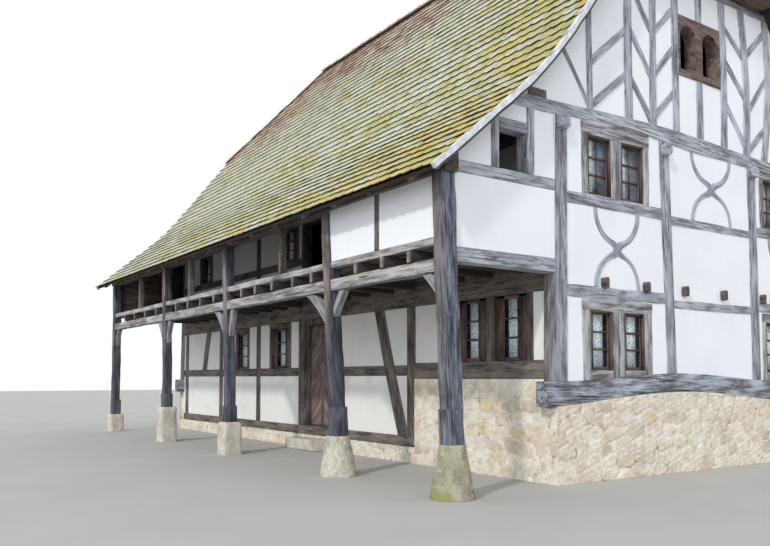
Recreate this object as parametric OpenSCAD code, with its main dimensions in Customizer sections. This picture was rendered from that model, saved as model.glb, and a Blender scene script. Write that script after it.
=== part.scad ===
// Half-timbered house with a two-storey gallery under one long tiled roof.
// X runs along the ridge, the gallery is on the -Y side and the carved gable on the +X side.
// The origin is on the ground, below the middle of the roof.

/* [Plan] */
// Length between the outer faces of the two gables
house_len = 12860; // [12400:20:13400]
// Distance between neighbouring posts in the first two bays of a gable
bay_w = 2100; // [2000:5:2200]
// Distance between the last two posts of a gable
last_bay_w = 1640; // [1560:5:1760]
// Depth of the gallery, from the main wall posts to the gallery posts
gallery_w = 1762; // [1650:2:1900]
// Distance from the gable face to the second gallery post
gallery_post_2 = 2440; // [2300:20:2600]
// Distance from the gable face to the third gallery post
gallery_post_3 = 5930; // [5800:10:6100]
// Distance from the gable face to the fourth gallery post
gallery_post_4 = 9090; // [8950:10:9300]

/* [Timbers] */
// Width of the main posts on the face of a wall
post_w = 200; // [185:5:240]
// Width of a gallery post
gallery_post_w = 180; // [160:5:200]
// Depth of every wall frame, from its outer face to its inner face
frame_t = 200; // [180:5:220]
// Width of a brace in the top of a gable
brace_w = 95; // [80:5:110]
// Width of a knee brace where it meets its post
knee_w = 130; // [100:5:160]
// Distance from a timber's face back to the plaster
plaster_set = 14; // [8:1:25]
// Height of the sill logs at the corners of the gables
sill_h = 322; // [290:2:340]
// Rise of a bent sill log in the middle of a gable
log_rise = 176; // [120:4:190]
// Height of a rail of the gables
rail_h = 160; // [140:4:180]
// Height of the tie beams
tie_h = 158; // [146:2:180]
// Rise of a gable's tie beam above its ends
tie_swell = 80; // [40:5:90]

/* [Heights above the ground] */
// Top of the stone plinth at the corners of the gables
plinth_h = 914; // [880:2:940]
// Top of the ground floor and of the door sill
floor_z = 400; // [360:10:440]
// Underside of the lower rail of the gables
rail1_z = 2272; // [2250:2:2300]
// Underside of the beams that carry the gallery
gallery_beam_z = 2435; // [2405:5:2455]
// Underside of the upper rail of the gables
rail2_z = 3430; // [3390:5:3470]
// Underside of the tie beams
tie_z = 4482; // [4440:2:4520]
// Underside of the top beam of a gable
top_beam_z = 6880; // [6830:10:6930]

/* [Roof] */
// Height of the tiles above the tie beams, over the outer face of the main wall
over_wall = 841; // [800:1:880]
// Slope of the upper part of the roof, in degrees
pitch = 51.7; // [51.2:0.1:52.2]
// Slope at the eaves, where the roof kicks out, in degrees
eave_pitch = 40.5; // [39.5:0.1:41.5]
// Slope of the half hips, in degrees
hip_pitch = 43; // [42:0.2:45]
// Radius of the curve between the two slopes
kick_r = 6300; // [6000:50:6800]
// Length of the straight slope at the eaves
tail_len = 1580; // [1400:20:1750]
// Distance from the gallery post line out to the edge of the eaves
eave_out = 448; // [420:4:480]
// Thickness of the tiles with their battens
tile_t = 75; // [60:5:85]
// Distance that the tiles run past the carved gable
verge_near = 300; // [250:10:340]
// Distance that the tiles run past the far gable
verge_far = 240; // [180:10:300]
// Distance that a half hip runs past the verge below it
hip_out = 100; // [60:10:140]
// Spacing of the rafters
rafter_gap = 820; // [700:20:1000]

/* [Door and windows] */
// Distance from the gable face to the near edge of the door leaf
door_at = 5442; // [5360:2:5520]
// Width of the door leaf
door_w = 890; // [850:5:930]
// Height of the door leaf
door_h = 1845; // [1790:5:1860]
// Thickness of the door leaf
door_t = 45; // [38:1:55]
// Gap between the door leaf and its frame
door_gap = 8; // [5:1:12]
// Height of an arched window with its sill
arch_h = 880; // [840:10:920]
// Width of a sash's stiles
sash_w = 45; // [35:1:60]
// Thickness of a sash
sash_t = 45; // [35:1:60]

/* [Hidden] */
$fn = 48;

// Clearance between pieces that lie against each other on a slope or in one wall
seat = 0.3;

// Places along the length and the depth
gable_x = house_len / 2 + (verge_far - verge_near) / 2;
far_x = gable_x - house_len;
half_core = bay_w + last_bay_w / 2;
post_y = [-half_core, -half_core + bay_w, -half_core + 2 * bay_w, half_core];
wall_y = half_core + post_w / 2;
gallery_y = half_core + gallery_w;
eave_y = gallery_y + eave_out;
aisle_face = gallery_y + post_w / 2;
inner_near = gable_x - frame_t;
inner_far = far_x + frame_t;

// Heights that follow from others
sill_top = plinth_h + sill_h;
rail1_top = rail1_z + rail_h;
rail2_top = rail2_z + rail_h;
mid_rail_h = 124;
mid_drop = 44;
tie_top = tie_z + tie_h;
top_beam_h = 120;
lintel_h = 127;
low_lintel_h = 144;
low_window_z = sill_top + 137;
beam_h = 162;
joist_h = 138;
joist_w = 112;
gallery_beam_top = gallery_beam_z + beam_h;
joist_top = gallery_beam_top + joist_h;
gallery_rail_h = 100;
rail_top = joist_top + gallery_rail_h;
board_t = 36;
log_d = 170;
log_out = 85;

// Front wall, ground floor
low_sill_h = 160;
front_rail_z = 1311;
front_rail_h = 160;
room_sill_z = 1265;
room_sill_h = 236;
head_h = 193;
head_z = joist_top - 2 * head_h;
room_post = 2952;
room_window = [508, 1901];
front_posts_at = [room_post, 8307, 10278, 12450];
front_windows_at = [[6954, 7689], [8853, 9391]];
front_window_top = 2251;
upper_floor_z = rail1_top + joist_h - 20;
front_jamb = 100;

// Front wall, upper floor
upper_posts_at = [room_post, 8330, 9710, 12450];
upper_rail_z = 3400;
upper_rail_h = 150;
upper_windows_at = [[6650, 7350], [10950, 11560]];
upper_door_at = [5576, 6350];
upper_head_z = tie_z - head_h;
upper_door_z = upper_head_z - 124;

// Roof lines: a point at depth d under the tiles where the slope is a degrees
ridge_z = tie_top + over_wall + wall_y * tan(pitch);
kick_cy = eave_y + kick_r * sin(eave_pitch) - tail_len * cos(eave_pitch);
kick_y = kick_cy - kick_r * sin(pitch);
kick_z = ridge_z - kick_y * tan(pitch);
kick_cz = kick_z + kick_r * cos(pitch);
kick_steps = 8;
rafter_t = 120;
rafter_w = 110;
sprocket_t = 60;
sprocket_depth = tile_t + sprocket_t;
function kick(d, a) = [kick_cy - (kick_r + d) * sin(a), kick_cz - (kick_r + d) * cos(a)];
function kick_line(d, a0, a1) = [for (i = [0 : kick_steps]) kick(d, a0 + (a1 - a0) * i / kick_steps)];
function ridge_point(d) = [0, ridge_z - d / cos(pitch)];
// A point at depth d on the straight eaves, up the slope from their edge
function tail(d, up) = kick(d, eave_pitch) + (tail_len - up) * [cos(eave_pitch), -sin(eave_pitch)];
function turned(points) = [for (i = [len(points) - 1 : -1 : 0]) points[i]];

// Heights that follow from the roof
eave_z = tail(0, 0)[1];
eave_plate_z = eave_z + 24;
wall_plate_h = 110;
foot_z = tie_top + wall_plate_h;
hip_z = top_beam_z + top_beam_h + 60;
hip_foot = verge_near + hip_out;
hip_run = (ridge_z - hip_z) / tan(hip_pitch);

// Flat shapes in the plane of a wall
module bar(u0, u1, v0, v1) {
  translate([u0, v0]) square([u1 - u0, v1 - v0]);
}

// A piece from p to q, bowed sideways by b in its middle
function along_line(p, q, b, t) = p + (q - p) * t + [p[1] - q[1], q[0] - p[0]] / norm(q - p) * b * sin(180 * t);
module timber(p, q, w, b = 0) {
  n = b == 0 ? 1 : 6;
  side = [p[1] - q[1], q[0] - p[0]] / norm(q - p) * w / 2;
  polygon(concat([for (i = [0 : n]) along_line(p, q, b, i / n) - side],
    [for (i = [n : -1 : 0]) along_line(p, q, b, i / n) + side]));
}

// The same, with both ends run on by its own width so that neighbours can trim it
module strut(p, q, w, b = 0) {
  d = (q - p) / norm(q - p) * w;
  timber(p - d, q + d, w, b);
}

// A flat (y, z) shape standing in a gable, from x down to x - t
module across(x, t) {
  translate([x - t, 0, 0]) rotate([90, 0, 90]) linear_extrude(t) children();
}

// A flat (x, z) shape standing in a long wall, from y to y + t
module along(y, t) {
  translate([0, y + t, 0]) rotate([90, 0, 0]) linear_extrude(t) children();
}

// The same flat shape in both gables
module both_gables(t, inset = 0) {
  across(gable_x - inset, t) children();
  across(far_x + t + inset, t) children();
}

module both_sides() {
  children();
  mirror([1, 0]) children();
}

// Space under the tiles, down to the ground, at depth d
module under_roof(d) {
  right = concat(kick_line(d, pitch, eave_pitch), [tail(d, 0), [tail(d, 0)[0], 0]]);
  polygon(concat([ridge_point(d)], right, [for (p = turned(right)) [-p[0], p[1]]]));
}

// The space inside the building, just clear of the tiles
module under_tiles() {
  under_roof(tile_t + seat);
}

// A strip of roof between depths d0 and d1, from the ridge to the eaves
module roof_strip(d0, d1) {
  polygon(concat([ridge_point(d0)], kick_line(d0, pitch, eave_pitch), [tail(d0, 0), tail(d1, 0)],
    kick_line(d1, eave_pitch, pitch), [ridge_point(d1)]));
}

// The bent sill log and tie beam of a gable: heights of their edges across the gable
function swell(y, c, reach) = abs(y - c) < reach ? (1 + cos(180 * (y - c) / reach)) / 2 : 0;
log_mid = -0.2 * half_core;
function log_under(y) = plinth_h + log_rise * swell(y, log_mid, 3200);
function log_over(y) = sill_top + 0.6 * log_rise * swell(y, log_mid, 2450);
tie_lift = 1.1 * tie_swell;
function tie_under(y) = tie_z + tie_lift * swell(y, -0.6 * half_core, 0.58 * half_core);
function tie_over(y) = tie_top + tie_swell * swell(y, -0.3 * half_core, half_core);
plinth_set = 20;
log_end = wall_y + 160;
log_places = [for (i = [0 : 20]) -log_end + (log_end + aisle_face + plinth_set) * i / 20];
tie_places = [for (i = [0 : 24]) aisle_face * (i / 12 - 1)];

module log_2d() {
  intersection() {
    polygon(concat([for (y = log_places) [y, log_under(y)]], [for (y = turned(log_places)) [y, log_over(y)]]));
    bar(-log_end, aisle_face, 0, sill_top + log_rise);
  }
}

module below_log() {
  polygon(concat([[-log_end, 0]], [for (y = log_places) [y, log_under(y) - seat]], [[aisle_face + plinth_set, 0]]));
}

module above_log() {
  polygon(concat([[-log_end, ridge_z]], [for (y = log_places) [y, log_over(y) + seat]], [[aisle_face + plinth_set, ridge_z]]));
}

module below_tie() {
  polygon(concat([[-aisle_face, 0]], [for (y = tie_places) [y, tie_under(y) - seat]], [[aisle_face, 0]]));
}

module above_tie() {
  polygon(concat([[-aisle_face, ridge_z]], [for (y = tie_places) [y, tie_over(y) + seat]], [[aisle_face, ridge_z]]));
}

tie_out = 340;
module tie_2d() {
  intersection() {
    polygon(concat([for (y = tie_places) [y, tie_under(y)]], [for (y = turned(tie_places)) [y, tie_over(y)]]));
    under_tiles();
  }
}

// Gables: pairs of windows as [middle, outer width, jamb, mullion]
pair_y = [(post_y[0] + post_y[1]) / 2, (post_y[2] + post_y[3]) / 2];
upper_pairs = [[pair_y[0], 1336, 122, 203], [pair_y[1], 1230, 100, 180]];
lower_pairs = [[pair_y[0], 1365, 151, 234], [pair_y[1], 1250, 110, 200]];
function pair(p, z0, z1) = [
  [p[0] - p[1] / 2 + p[2], p[0] - p[3] / 2, z0, z1],
  [p[0] + p[3] / 2, p[0] + p[1] / 2 - p[2], z0, z1]
];
function pairs(list, z0, z1) = [for (p = list) for (w = pair(p, z0, z1)) w];
upper_window_top = tie_z - lintel_h;
low_window_top = rail1_z - low_lintel_h;
low_board = low_window_z - sill_top;
gable_windows = concat(pairs(upper_pairs, rail2_top, upper_window_top),
  pairs(lower_pairs, low_window_z, low_window_top));

// Studs of the gable top: place, lean, bow and width
studs = [[-2366, -14, 0, 100], [-1587, 14, 12, 150], [-1070, 37, 8, 140], [-570, 0, 6, 150],
  [570, -10, -28, 160], [1107, -85, -88, 165], [1671, 94, -120, 160], [2366, 14, 0, 110]];
king_w = 155;
stud_y = [for (s = studs) s[0]];
// Braces between a stud and the next: stud, heights at its two ends as a share of the gable top
braces = [[0, 0.284, 0.576], [0, 0.033, 0.303], [1, 0.88, 0.589], [1, 0.591, 0.306], [1, 0.3, 0.035],
  [2, 0.606, 0.824], [2, 0.335, 0.576], [2, 0.074, 0.293], [4, 0.85, 0.658], [4, 0.626, 0.379],
  [4, 0.339, 0.044], [5, 0.686, 0.931], [5, 0.3, 0.616], [5, 0.02, 0.25], [6, 0.576, 0.284], [6, 0.303, 0.033]];
function brace_z(share) = tie_top + share * (top_beam_z - tie_top);
// The middle of a leaning, bowed stud at that height
function stud_mid(k, share) = studs[k][0] + studs[k][1] * (share - 0.5)
  - studs[k][2] * sin(180 * (share * (top_beam_z - tie_top) + studs[k][3]) / (top_beam_z - tie_top + 2 * studs[k][3]));
function brace_end(k, share) = [stud_mid(k, share), brace_z(share)];
arch_z = top_beam_z - 455 - arch_h;
joists_y = [-2155, -1328, -485, 443, 1465, 2300];

module openings(list) {
  for (w = list) bar(w[0], w[1], w[2], w[3]);
}

module gable_face() {
  intersection() {
    under_tiles();
    above_tie();
    bar(-aisle_face + post_w, aisle_face - post_w, tie_z, top_beam_z);
  }
  intersection() {
    above_log();
    below_tie();
    bar(-wall_y, wall_y, sill_top, tie_z + tie_lift);
  }
}

post_lean = [51, -107, -40, 0];
module gable_posts_2d(room = 0) {
  intersection() {
    union() for (k = [0 : 3])
      timber([post_y[k] - post_lean[k] / 2, plinth_h], [post_y[k] + post_lean[k] / 2, tie_top], post_w + 2 * room);
    difference() {
      intersection() {
        above_log();
        below_tie();
      }
      log_ends_2d();
    }
  }
}

module log_ends_2d() {
  for (k = [0 : 3]) translate([post_y[k] + post_lean[k] / 2, tie_z - log_d / 2]) circle(d = log_d, $fn = 24);
}

module gable_rails_2d() {
  difference() {
    for (k = [0 : 2]) {
      drop = k == 1 ? mid_drop : 0;
      h = k == 1 ? mid_rail_h : rail_h;
      for (z = [rail1_z, rail2_z]) bar(post_y[k], post_y[k + 1], z - drop, z - drop + h);
    }
    gable_posts_2d();
  }
}

// Lintels, jambs, mullions and sill boards of the window pairs, each a piece of its own
module pair_timbers(p, z0, z1, foot, lintel) {
  bar(p[0] - p[1] / 2, p[0] + p[1] / 2, z1, z1 + lintel);
  for (s = [-1, 1]) translate([p[0], 0])
    bar(s < 0 ? -p[1] / 2 : p[1] / 2 - p[2], s < 0 ? -p[1] / 2 + p[2] : p[1] / 2, foot, z1 - seat);
  bar(p[0] - p[3] / 2, p[0] + p[3] / 2, foot, z1 - seat);
  if (foot < z0)
    for (w = pair(p, z0, z1)) bar(w[0] + seat, w[1] - seat, z0 - low_board, z0);
}

module gable_jambs_2d() {
  difference() {
    union() {
      for (p = upper_pairs) pair_timbers(p, rail2_top, upper_window_top, rail2_top, tie_top - upper_window_top);
      for (p = lower_pairs) pair_timbers(p, low_window_z, low_window_top, plinth_h, low_lintel_h);
    }
    difference() {
      bar(-aisle_face, aisle_face, plinth_h, tie_top + tie_swell);
      intersection() {
        above_log();
        below_tie();
      }
    }
    gable_posts_2d();
    log_ends_2d();
  }
}

module gable_studs_2d() {
  intersection() {
    under_tiles();
    above_tie();
    union() {
      for (s = studs) intersection() {
        strut([s[0] - s[1] / 2, tie_top], [s[0] + s[1] / 2, top_beam_z], s[3], s[2]);
        bar(s[0] - 2 * s[3], s[0] + 2 * s[3], tie_z, top_beam_z);
      }
      bar(-king_w / 2 - 12, king_w / 2 - 12, tie_top, arch_z);
      bar(-king_w / 2, king_w / 2, arch_z + arch_h, top_beam_z);
    }
  }
}

module gable_braces_2d() {
  difference() {
    intersection() {
      under_tiles();
      above_tie();
      bar(-aisle_face, aisle_face, tie_z, top_beam_z);
      union() {
        for (b = braces)
          timber(brace_end(b[0], b[1]), brace_end(b[0] + 1, b[2]), brace_w, 6);
        both_sides() timber(brace_end(0, 0.03), [stud_y[0] - 640, brace_z(0.425)], 0.8 * brace_w);
      }
    }
    gable_studs_2d();
    arched_head_2d(false);
  }
}

// Two sine-curved braces that cross: upright at their ends and slanted in the middle
module ornament(c, z0, z1, half_w, w) {
  n = 8;
  mid = (z0 + z1) / 2;
  rise = (z1 - z0) / 2;
  translate([c, 0]) both_sides()
    polygon(concat(
      [for (i = [-n : n]) [half_w * sin(90 * i / n) - w / 2, mid + rise * 1.1 * i / n]],
      [for (i = [n : -1 : -n]) [half_w * sin(90 * i / n) + w / 2, mid + rise * 1.1 * i / n]]
    ));
  translate([c, mid]) circle(d = 1.7 * w, $fn = 12);
}

ornament_w = 72;
ornament_half = [419, 360, 468];
module gable_ornaments_2d() {
  mid_top = rail2_z - mid_drop + mid_rail_h;
  intersection() {
    below_tie();
    bar(post_y[1] + post_w, post_y[2] - post_w, mid_top, tie_top);
    ornament((post_y[1] + post_y[2]) / 2, mid_top, tie_z, ornament_half[2], ornament_w);
  }
  difference() {
    for (k = [0, 1]) intersection() {
      bar(post_y[2 * k] + post_w / 2, post_y[2 * k + 1] - post_w / 2, rail1_top, rail2_z);
      ornament(pair_y[k], rail1_top, rail2_z, ornament_half[k], ornament_w);
    }
    joist_ends_2d();
  }
}

module joist_ends_2d() {
  for (y = joists_y) bar(y - joist_w / 2, y + joist_w / 2, rail1_top, rail1_top + joist_h - 20);
}

module arched_head_2d(openings_too) {
  difference() {
    bar(stud_y[3], stud_y[4], arch_z, arch_z + arch_h);
    arch_studs_2d();
    if (openings_too) both_sides() arched_opening();
  }
}

// The two studs beside the arched window
module arch_studs_2d() {
  for (k = [3, 4]) strut([studs[k][0] - studs[k][1] / 2, tie_top], [studs[k][0] + studs[k][1] / 2, top_beam_z],
    studs[k][3], studs[k][2]);
}

arch_sill_h = 105;
arch_mullion = 150;
module arched_opening() {
  u0 = arch_mullion / 2;
  u1 = stud_y[4] - studs[4][3] / 2 - 34;
  r = (u1 - u0) / 2;
  spring = arch_z + arch_h - 125 - r;
  bar(u0, u1, arch_z + arch_sill_h, spring);
  translate([(u0 + u1) / 2, spring]) circle(r = r, $fn = 32);
}

// Modules of the sub-parts
plinth_back = 140;
module plinth() {
  color("#b3a894") {
    room_x = gable_x - room_post + post_w / 2;
    for (x = [gable_x + plinth_set, inner_far])
      across(x, frame_t + plinth_set)
        intersection() {
          below_log();
          bar(-wall_y - plinth_set, aisle_face + plinth_set, 0, plinth_h + log_rise);
        }
    for (s = [0, 1]) translate([(s == 0 ? gable_x : far_x), 0, 0]) mirror([s, 0, 0])
      translate([-frame_t - plinth_back, -wall_y + frame_t, 0])
        cube([plinth_back, wall_y + aisle_face - 2 * frame_t, plinth_h]);
    translate([inner_far, -wall_y - plinth_set, 0])
      cube([room_x - inner_far, frame_t + plinth_set, floor_z - low_sill_h]);
    translate([room_x, -wall_y - plinth_set, 0]) cube([inner_near - room_x, frame_t + plinth_set, room_sill_z]);
    translate([inner_far, aisle_face - frame_t, 0]) cube([inner_near - inner_far, frame_t + plinth_set, plinth_h]);
  }
}

// Gallery posts: heights of their stones and spliced feet, lean, and widths
stone_h = [570, 520, 537, 694, 406];
stone_top = [300, 330, 300, 300, 310];
stone_foot = [500, 500, 345, 345, 350];
foot_top = [945, 900, 810, 960, 760];
gallery_lean = [140, 260, 140, 100, 10];
gallery_post_at = [20, gallery_post_2, gallery_post_3, gallery_post_4, house_len - post_w / 2];
function gallery_post_width(i) = gallery_post_w + [20, 0, -12, -12, 0][i];
function gallery_post_x(i, z) = gable_x - gallery_post_at[i]
  - gallery_lean[i] * ((z - stone_h[i]) / (eave_plate_z - stone_h[i]) - 0.5);

module post_stones() {
  color("#a39f97")
    for (i = [0 : 4]) translate([gallery_post_x(i, stone_h[i]), -gallery_y, 0])
      if (i < 2) cylinder(d1 = stone_foot[i], d2 = stone_top[i], h = stone_h[i]);
      else intersection() {
        along(-stone_foot[i], 2 * stone_foot[i]) stone_side(i);
        across(stone_foot[i], 2 * stone_foot[i]) stone_side(i);
      }
}

module stone_side(i) {
  edge = 40;
  polygon([[-stone_foot[i] / 2, 0], [stone_foot[i] / 2, 0], [stone_foot[i] / 2 - 8, stone_h[i] - edge],
    [stone_top[i] / 2 - 10, stone_h[i]], [-stone_top[i] / 2 + 10, stone_h[i]], [-stone_foot[i] / 2 + 8, stone_h[i] - edge]]);
}

module gallery_post_2d(i, z0, z1, w) {
  polygon([[gallery_post_x(i, z0) - w / 2, z0], [gallery_post_x(i, z0) + w / 2, z0],
    [gallery_post_x(i, z1) + w / 2, z1], [gallery_post_x(i, z1) - w / 2, z1]]);
}

module gallery_posts_2d(room = 0) {
  for (i = [0 : 4]) gallery_post_2d(i, stone_h[i], eave_plate_z, gallery_post_width(i) + 2 * room);
}

foot_extra = [6, 15, 15, 15, 15];
module gallery_posts() {
  color("#7d7468")
    for (i = [0 : 4]) {
      w = gallery_post_width(i);
      f = w + 2 * foot_extra[i];
      along(-gallery_y - w / 2, w) gallery_post_2d(i, foot_top[i] + seat, eave_plate_z, w);
      along(-gallery_y - f / 2, f) gallery_post_2d(i, stone_h[i], foot_top[i], f);
    }
}

module sill_logs() {
  color("#857c70") both_gables(frame_t) log_2d();
}

module gable_posts() {
  color("#8a8378") both_gables(frame_t) gable_posts_2d();
}

module aisle_end_2d() {
  bar(wall_y, aisle_face - frame_t, rail1_z, rail1_top);
}

module gable_rails() {
  color("#8a8378") both_gables(frame_t) {
    gable_rails_2d();
    aisle_end_2d();
  }
}

module window_frames() {
  color("#8f897f") both_gables(frame_t) gable_jambs_2d();
}

module tie_beams() {
  color("#7f7a72") {
    both_gables(frame_t) {
      tie_2d();
      intersection() {
        under_tiles();
        bar(-aisle_face, aisle_face, top_beam_z, top_beam_z + top_beam_h);
      }
    }
    both_gables(frame_t + log_out, -log_out) log_ends_2d();
    for (i = [1 : 3])
      translate([gable_x - gallery_post_at[i] - post_w / 2, -wall_y - tie_out, tie_z])
        cube([post_w, 2 * (wall_y + tie_out), tie_h]);
  }
}

module gable_studs() {
  color("#8a8378") both_gables(frame_t) gable_studs_2d();
}

module gable_braces() {
  color("#8f887c") both_gables(frame_t) gable_braces_2d();
}

module gable_ornaments() {
  color("#8f8f8f") both_gables(frame_t) gable_ornaments_2d();
}

module gable_plaster() {
  color("#eceef0") both_gables(frame_t - 2 * plaster_set, plaster_set)
    difference() {
      gable_face();
      tie_2d();
      log_ends_2d();
      gable_posts_2d();
      gable_rails_2d();
      gable_jambs_2d();
      openings(gable_windows);
      gable_studs_2d();
      gable_braces_2d();
      gable_ornaments_2d();
      arched_head_2d(false);
      joist_ends_2d();
      wall_plates_2d();
    }
}

// The four members of each sash, each a piece of its own
module sash_2d(w) {
  for (s = [w[0], w[1] - sash_w]) bar(s, s + sash_w, w[2], w[3]);
  for (z = [w[2], w[3] - sash_w]) bar(w[0] + sash_w + seat, w[1] - sash_w - seat, z, z + sash_w);
}

sash_set = 60;
module window_sashes() {
  color("#5b4030") {
    both_gables(sash_t, sash_set) for (w = gable_windows) sash_2d(w);
    along(-wall_y + sash_set, sash_t) for (w = front_openings) sash_2d(w);
    along(aisle_face - sash_set - sash_t, sash_t) for (w = rear_openings) sash_2d(w);
  }
}

module arched_windows() {
  color("#7b756c") both_gables(frame_t) arched_head_2d(true);
}

module gallery_bars_2d(z, h) {
  difference() {
    bar(gallery_post_x(4, z), gallery_post_x(0, z), z, z + h);
    gallery_posts_2d(seat);
  }
}

module gallery_beams() {
  color("#8d8a85") along(-gallery_y - 75, 150) gallery_bars_2d(gallery_beam_z, beam_h);
}

// Joists of the gallery floor, as distances from the gable face
joists_at = [602, 1151, 1742, 2890, 3449, 4118, 4716, 5233, 6420, 7060, 7700, 8340, 9560, 10300, 11040, 11780];
joist_out = 140;
module gallery_joists() {
  color("#8b8377")
    for (d = joists_at)
      translate([gable_x - d - joist_w / 2, -gallery_y - joist_out, gallery_beam_top])
        cube([joist_w, gallery_y + joist_out - wall_y, joist_h]);
}

module gallery_rails() {
  color("#8d8a85") along(-gallery_y - 65, 130) gallery_bars_2d(joist_top, gallery_rail_h);
}

end_board_in = 60;
module gallery_floor() {
  edge = gallery_post_w / 2 + 20;
  color("#6f655a")
    translate([far_x + end_board_in, -gallery_y + edge, joist_top])
      cube([inner_near - far_x - end_board_in, gallery_y - edge - wall_y - 0.9, board_t]);
}

// A knee brace curves from its post up to the beam
knee_t = 90;
knee_left = [[330, 330], [640, 530], [500, 560], [410, 600], [0, 0]];
knee_right = [[0, 0], [290, 390], [215, 560], [230, 560], [260, 480]];
function bend(p, c, q, t) = (1 - t) * (1 - t) * p + 2 * t * (1 - t) * c + t * t * q;
module knee_2d(i, dir, reach, drop, w) {
  z0 = gallery_beam_z - drop;
  x0 = gallery_post_x(i, z0) + dir * gallery_post_width(i) / 2;
  x1 = x0 + dir * reach;
  n = 6;
  steps = [for (k = [0 : n]) k / n];
  outer = [for (t = steps) bend([x0 - dir * 60, z0 - 40], [x0 + dir * reach * 0.42, gallery_beam_z - drop * 0.32],
    [x1, gallery_beam_z + 20], t)];
  inner = [for (t = turned(steps)) bend([x0 - dir * 60, z0 + w], [x0 + dir * reach * 0.3, gallery_beam_z - drop * 0.12],
    [x1 - dir * w * 1.5, gallery_beam_z + 20], t)];
  difference() {
    intersection() {
      polygon(concat(outer, inner));
      bar(min(x0, x1) - 100, max(x0, x1) + 100, z0 - 100, gallery_beam_z);
    }
    gallery_posts_2d(seat);
  }
}

module knee_braces() {
  color("#8f8b84") along(-gallery_y - knee_t / 2, knee_t)
    for (i = [0 : 4]) {
      if (knee_left[i][0] > 0) knee_2d(i, -1, knee_left[i][0], knee_left[i][1], knee_w);
      if (knee_right[i][0] > 0) knee_2d(i, 1, knee_right[i][0], knee_right[i][1], 0.75 * knee_w);
    }
}

front_studs_at = [1335, 3945, 7768, 10845];
front_stud_w = 110;
module gallery_studs() {
  color("#857b6e")
    for (d = front_studs_at)
      translate([gable_x - d - front_stud_w / 2, -gallery_y - front_stud_w / 2, rail_top])
        cube([front_stud_w, front_stud_w, eave_plate_z - rail_top]);
}

module end_boards() {
  color("#4a3a2e")
    across(far_x + end_board_in, 40)
      difference() {
        bar(-gallery_y + gallery_post_w / 2, -wall_y, rail_top - gallery_rail_h, eave_plate_z);
        gable_posts_2d(seat);
      }
}

// The end of the gallery beside the carved gable
porch_beam_z = gallery_beam_z + 113;
porch_beam_h = 172;
porch_top_z = eave_plate_z + 28;
porch_top_h = 140;
attic_window = [-half_core - 1001, -half_core - 557, porch_top_z + porch_top_h, porch_top_z + 617];
porch_edge = gallery_y - gallery_post_w / 2 - 10;
module porch_end_2d() {
  w = attic_window;
  difference() {
    intersection() {
      under_tiles();
      below_tie();
      union() {
        bar(-porch_edge, -wall_y, porch_beam_z, porch_beam_z + porch_beam_h);
        bar(-porch_edge, -wall_y, porch_top_z, porch_top_z + porch_top_h);
        bar(w[0] - 122, w[0], w[2] + seat, tie_top);
        bar(w[1], w[1] + 125, w[2] + seat, tie_top);
        bar(w[0] + seat, w[1] - seat, w[3], w[3] + 125);
      }
    }
    gable_posts_2d(seat);
  }
}

module porch_end_frame() {
  color("#7b756c") across(gable_x, frame_t) porch_end_2d();
}

module gallery_panels() {
  color("#eceef0") {
    x = gable_x - front_studs_at[0];
    along(-gallery_y - 45, 90)
      difference() {
        bar(gallery_post_x(1, rail_top), gallery_post_x(0, rail_top), rail_top, eave_plate_z);
        bar(x - front_stud_w / 2, x + front_stud_w / 2, rail_top, eave_plate_z);
        gallery_posts_2d(seat);
      }
    across(gable_x - plaster_set, frame_t - 2 * plaster_set)
      difference() {
        intersection() {
          under_tiles();
          below_tie();
          bar(-porch_edge, -wall_y, porch_beam_z, tie_top);
        }
        porch_end_2d();
        gable_posts_2d(seat);
        openings([attic_window]);
      }
  }
}

// Plates under the rafters, seen at their ends in the gables
module wall_plates_2d() {
  both_sides() bar(wall_y + 130, wall_y + 430, tie_top, foot_z);
}

ridge_board_t = 30;
ridge_board_h = 200;
module roof_plates() {
  color("#5c5046") {
    for (s = [-1, 1])
      across(gable_x + 60, house_len + 120)
        intersection() {
          under_roof(sprocket_depth + seat);
          bar(s * gallery_y - post_w / 2, s * gallery_y + post_w / 2, eave_plate_z, tie_z);
        }
    across(inner_near, house_len - 2 * frame_t) wall_plates_2d();
    both_gables(frame_t) intersection() {
      wall_plates_2d();
      above_tie();
    }
    x0 = far_x - verge_far - hip_out + hip_run;
    translate([x0, -ridge_board_t / 2, ridge_z - (tile_t + 20) / cos(pitch) - ridge_board_h])
      cube([gable_x + hip_foot - hip_run - x0, ridge_board_t, ridge_board_h]);
  }
}

// Front wall of the rooms
function fx(d) = gable_x - d;
raking = [[3800, head_z], [3150, floor_z], 250];
far_raking = [[10995, head_z], [11260, front_rail_z + front_rail_h], 250];
module front_posts_2d() {
  for (d = front_posts_at) bar(fx(d) - post_w / 2, fx(d) + post_w / 2, floor_z, head_z);
  for (d = upper_posts_at) bar(fx(d) - post_w / 2, fx(d) + post_w / 2, joist_top, upper_head_z);
}

module raking_struts_2d() {
  difference() {
    union() for (s = [raking, far_raking]) intersection() {
      strut([fx(s[0][0]), s[0][1]], [fx(s[1][0]), s[1][1]], s[2], -30);
      bar(inner_far, fx(room_post) - post_w / 2, s[1][1], head_z);
    }
    for (d = front_posts_at) bar(fx(d) - post_w / 2, fx(d) + post_w / 2, floor_z, head_z);
  }
}

// Jambs and lintel round an opening of the long walls, each a piece of its own
module window_frame(w, z0, z1, jamb, head) {
  bar(fx(w[1]) - jamb, fx(w[0]) + jamb, z1, head);
  bar(fx(w[1]) - jamb, fx(w[1]), z0, z1 - seat);
  bar(fx(w[0]), fx(w[0]) + jamb, z0, z1 - seat);
}

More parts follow.
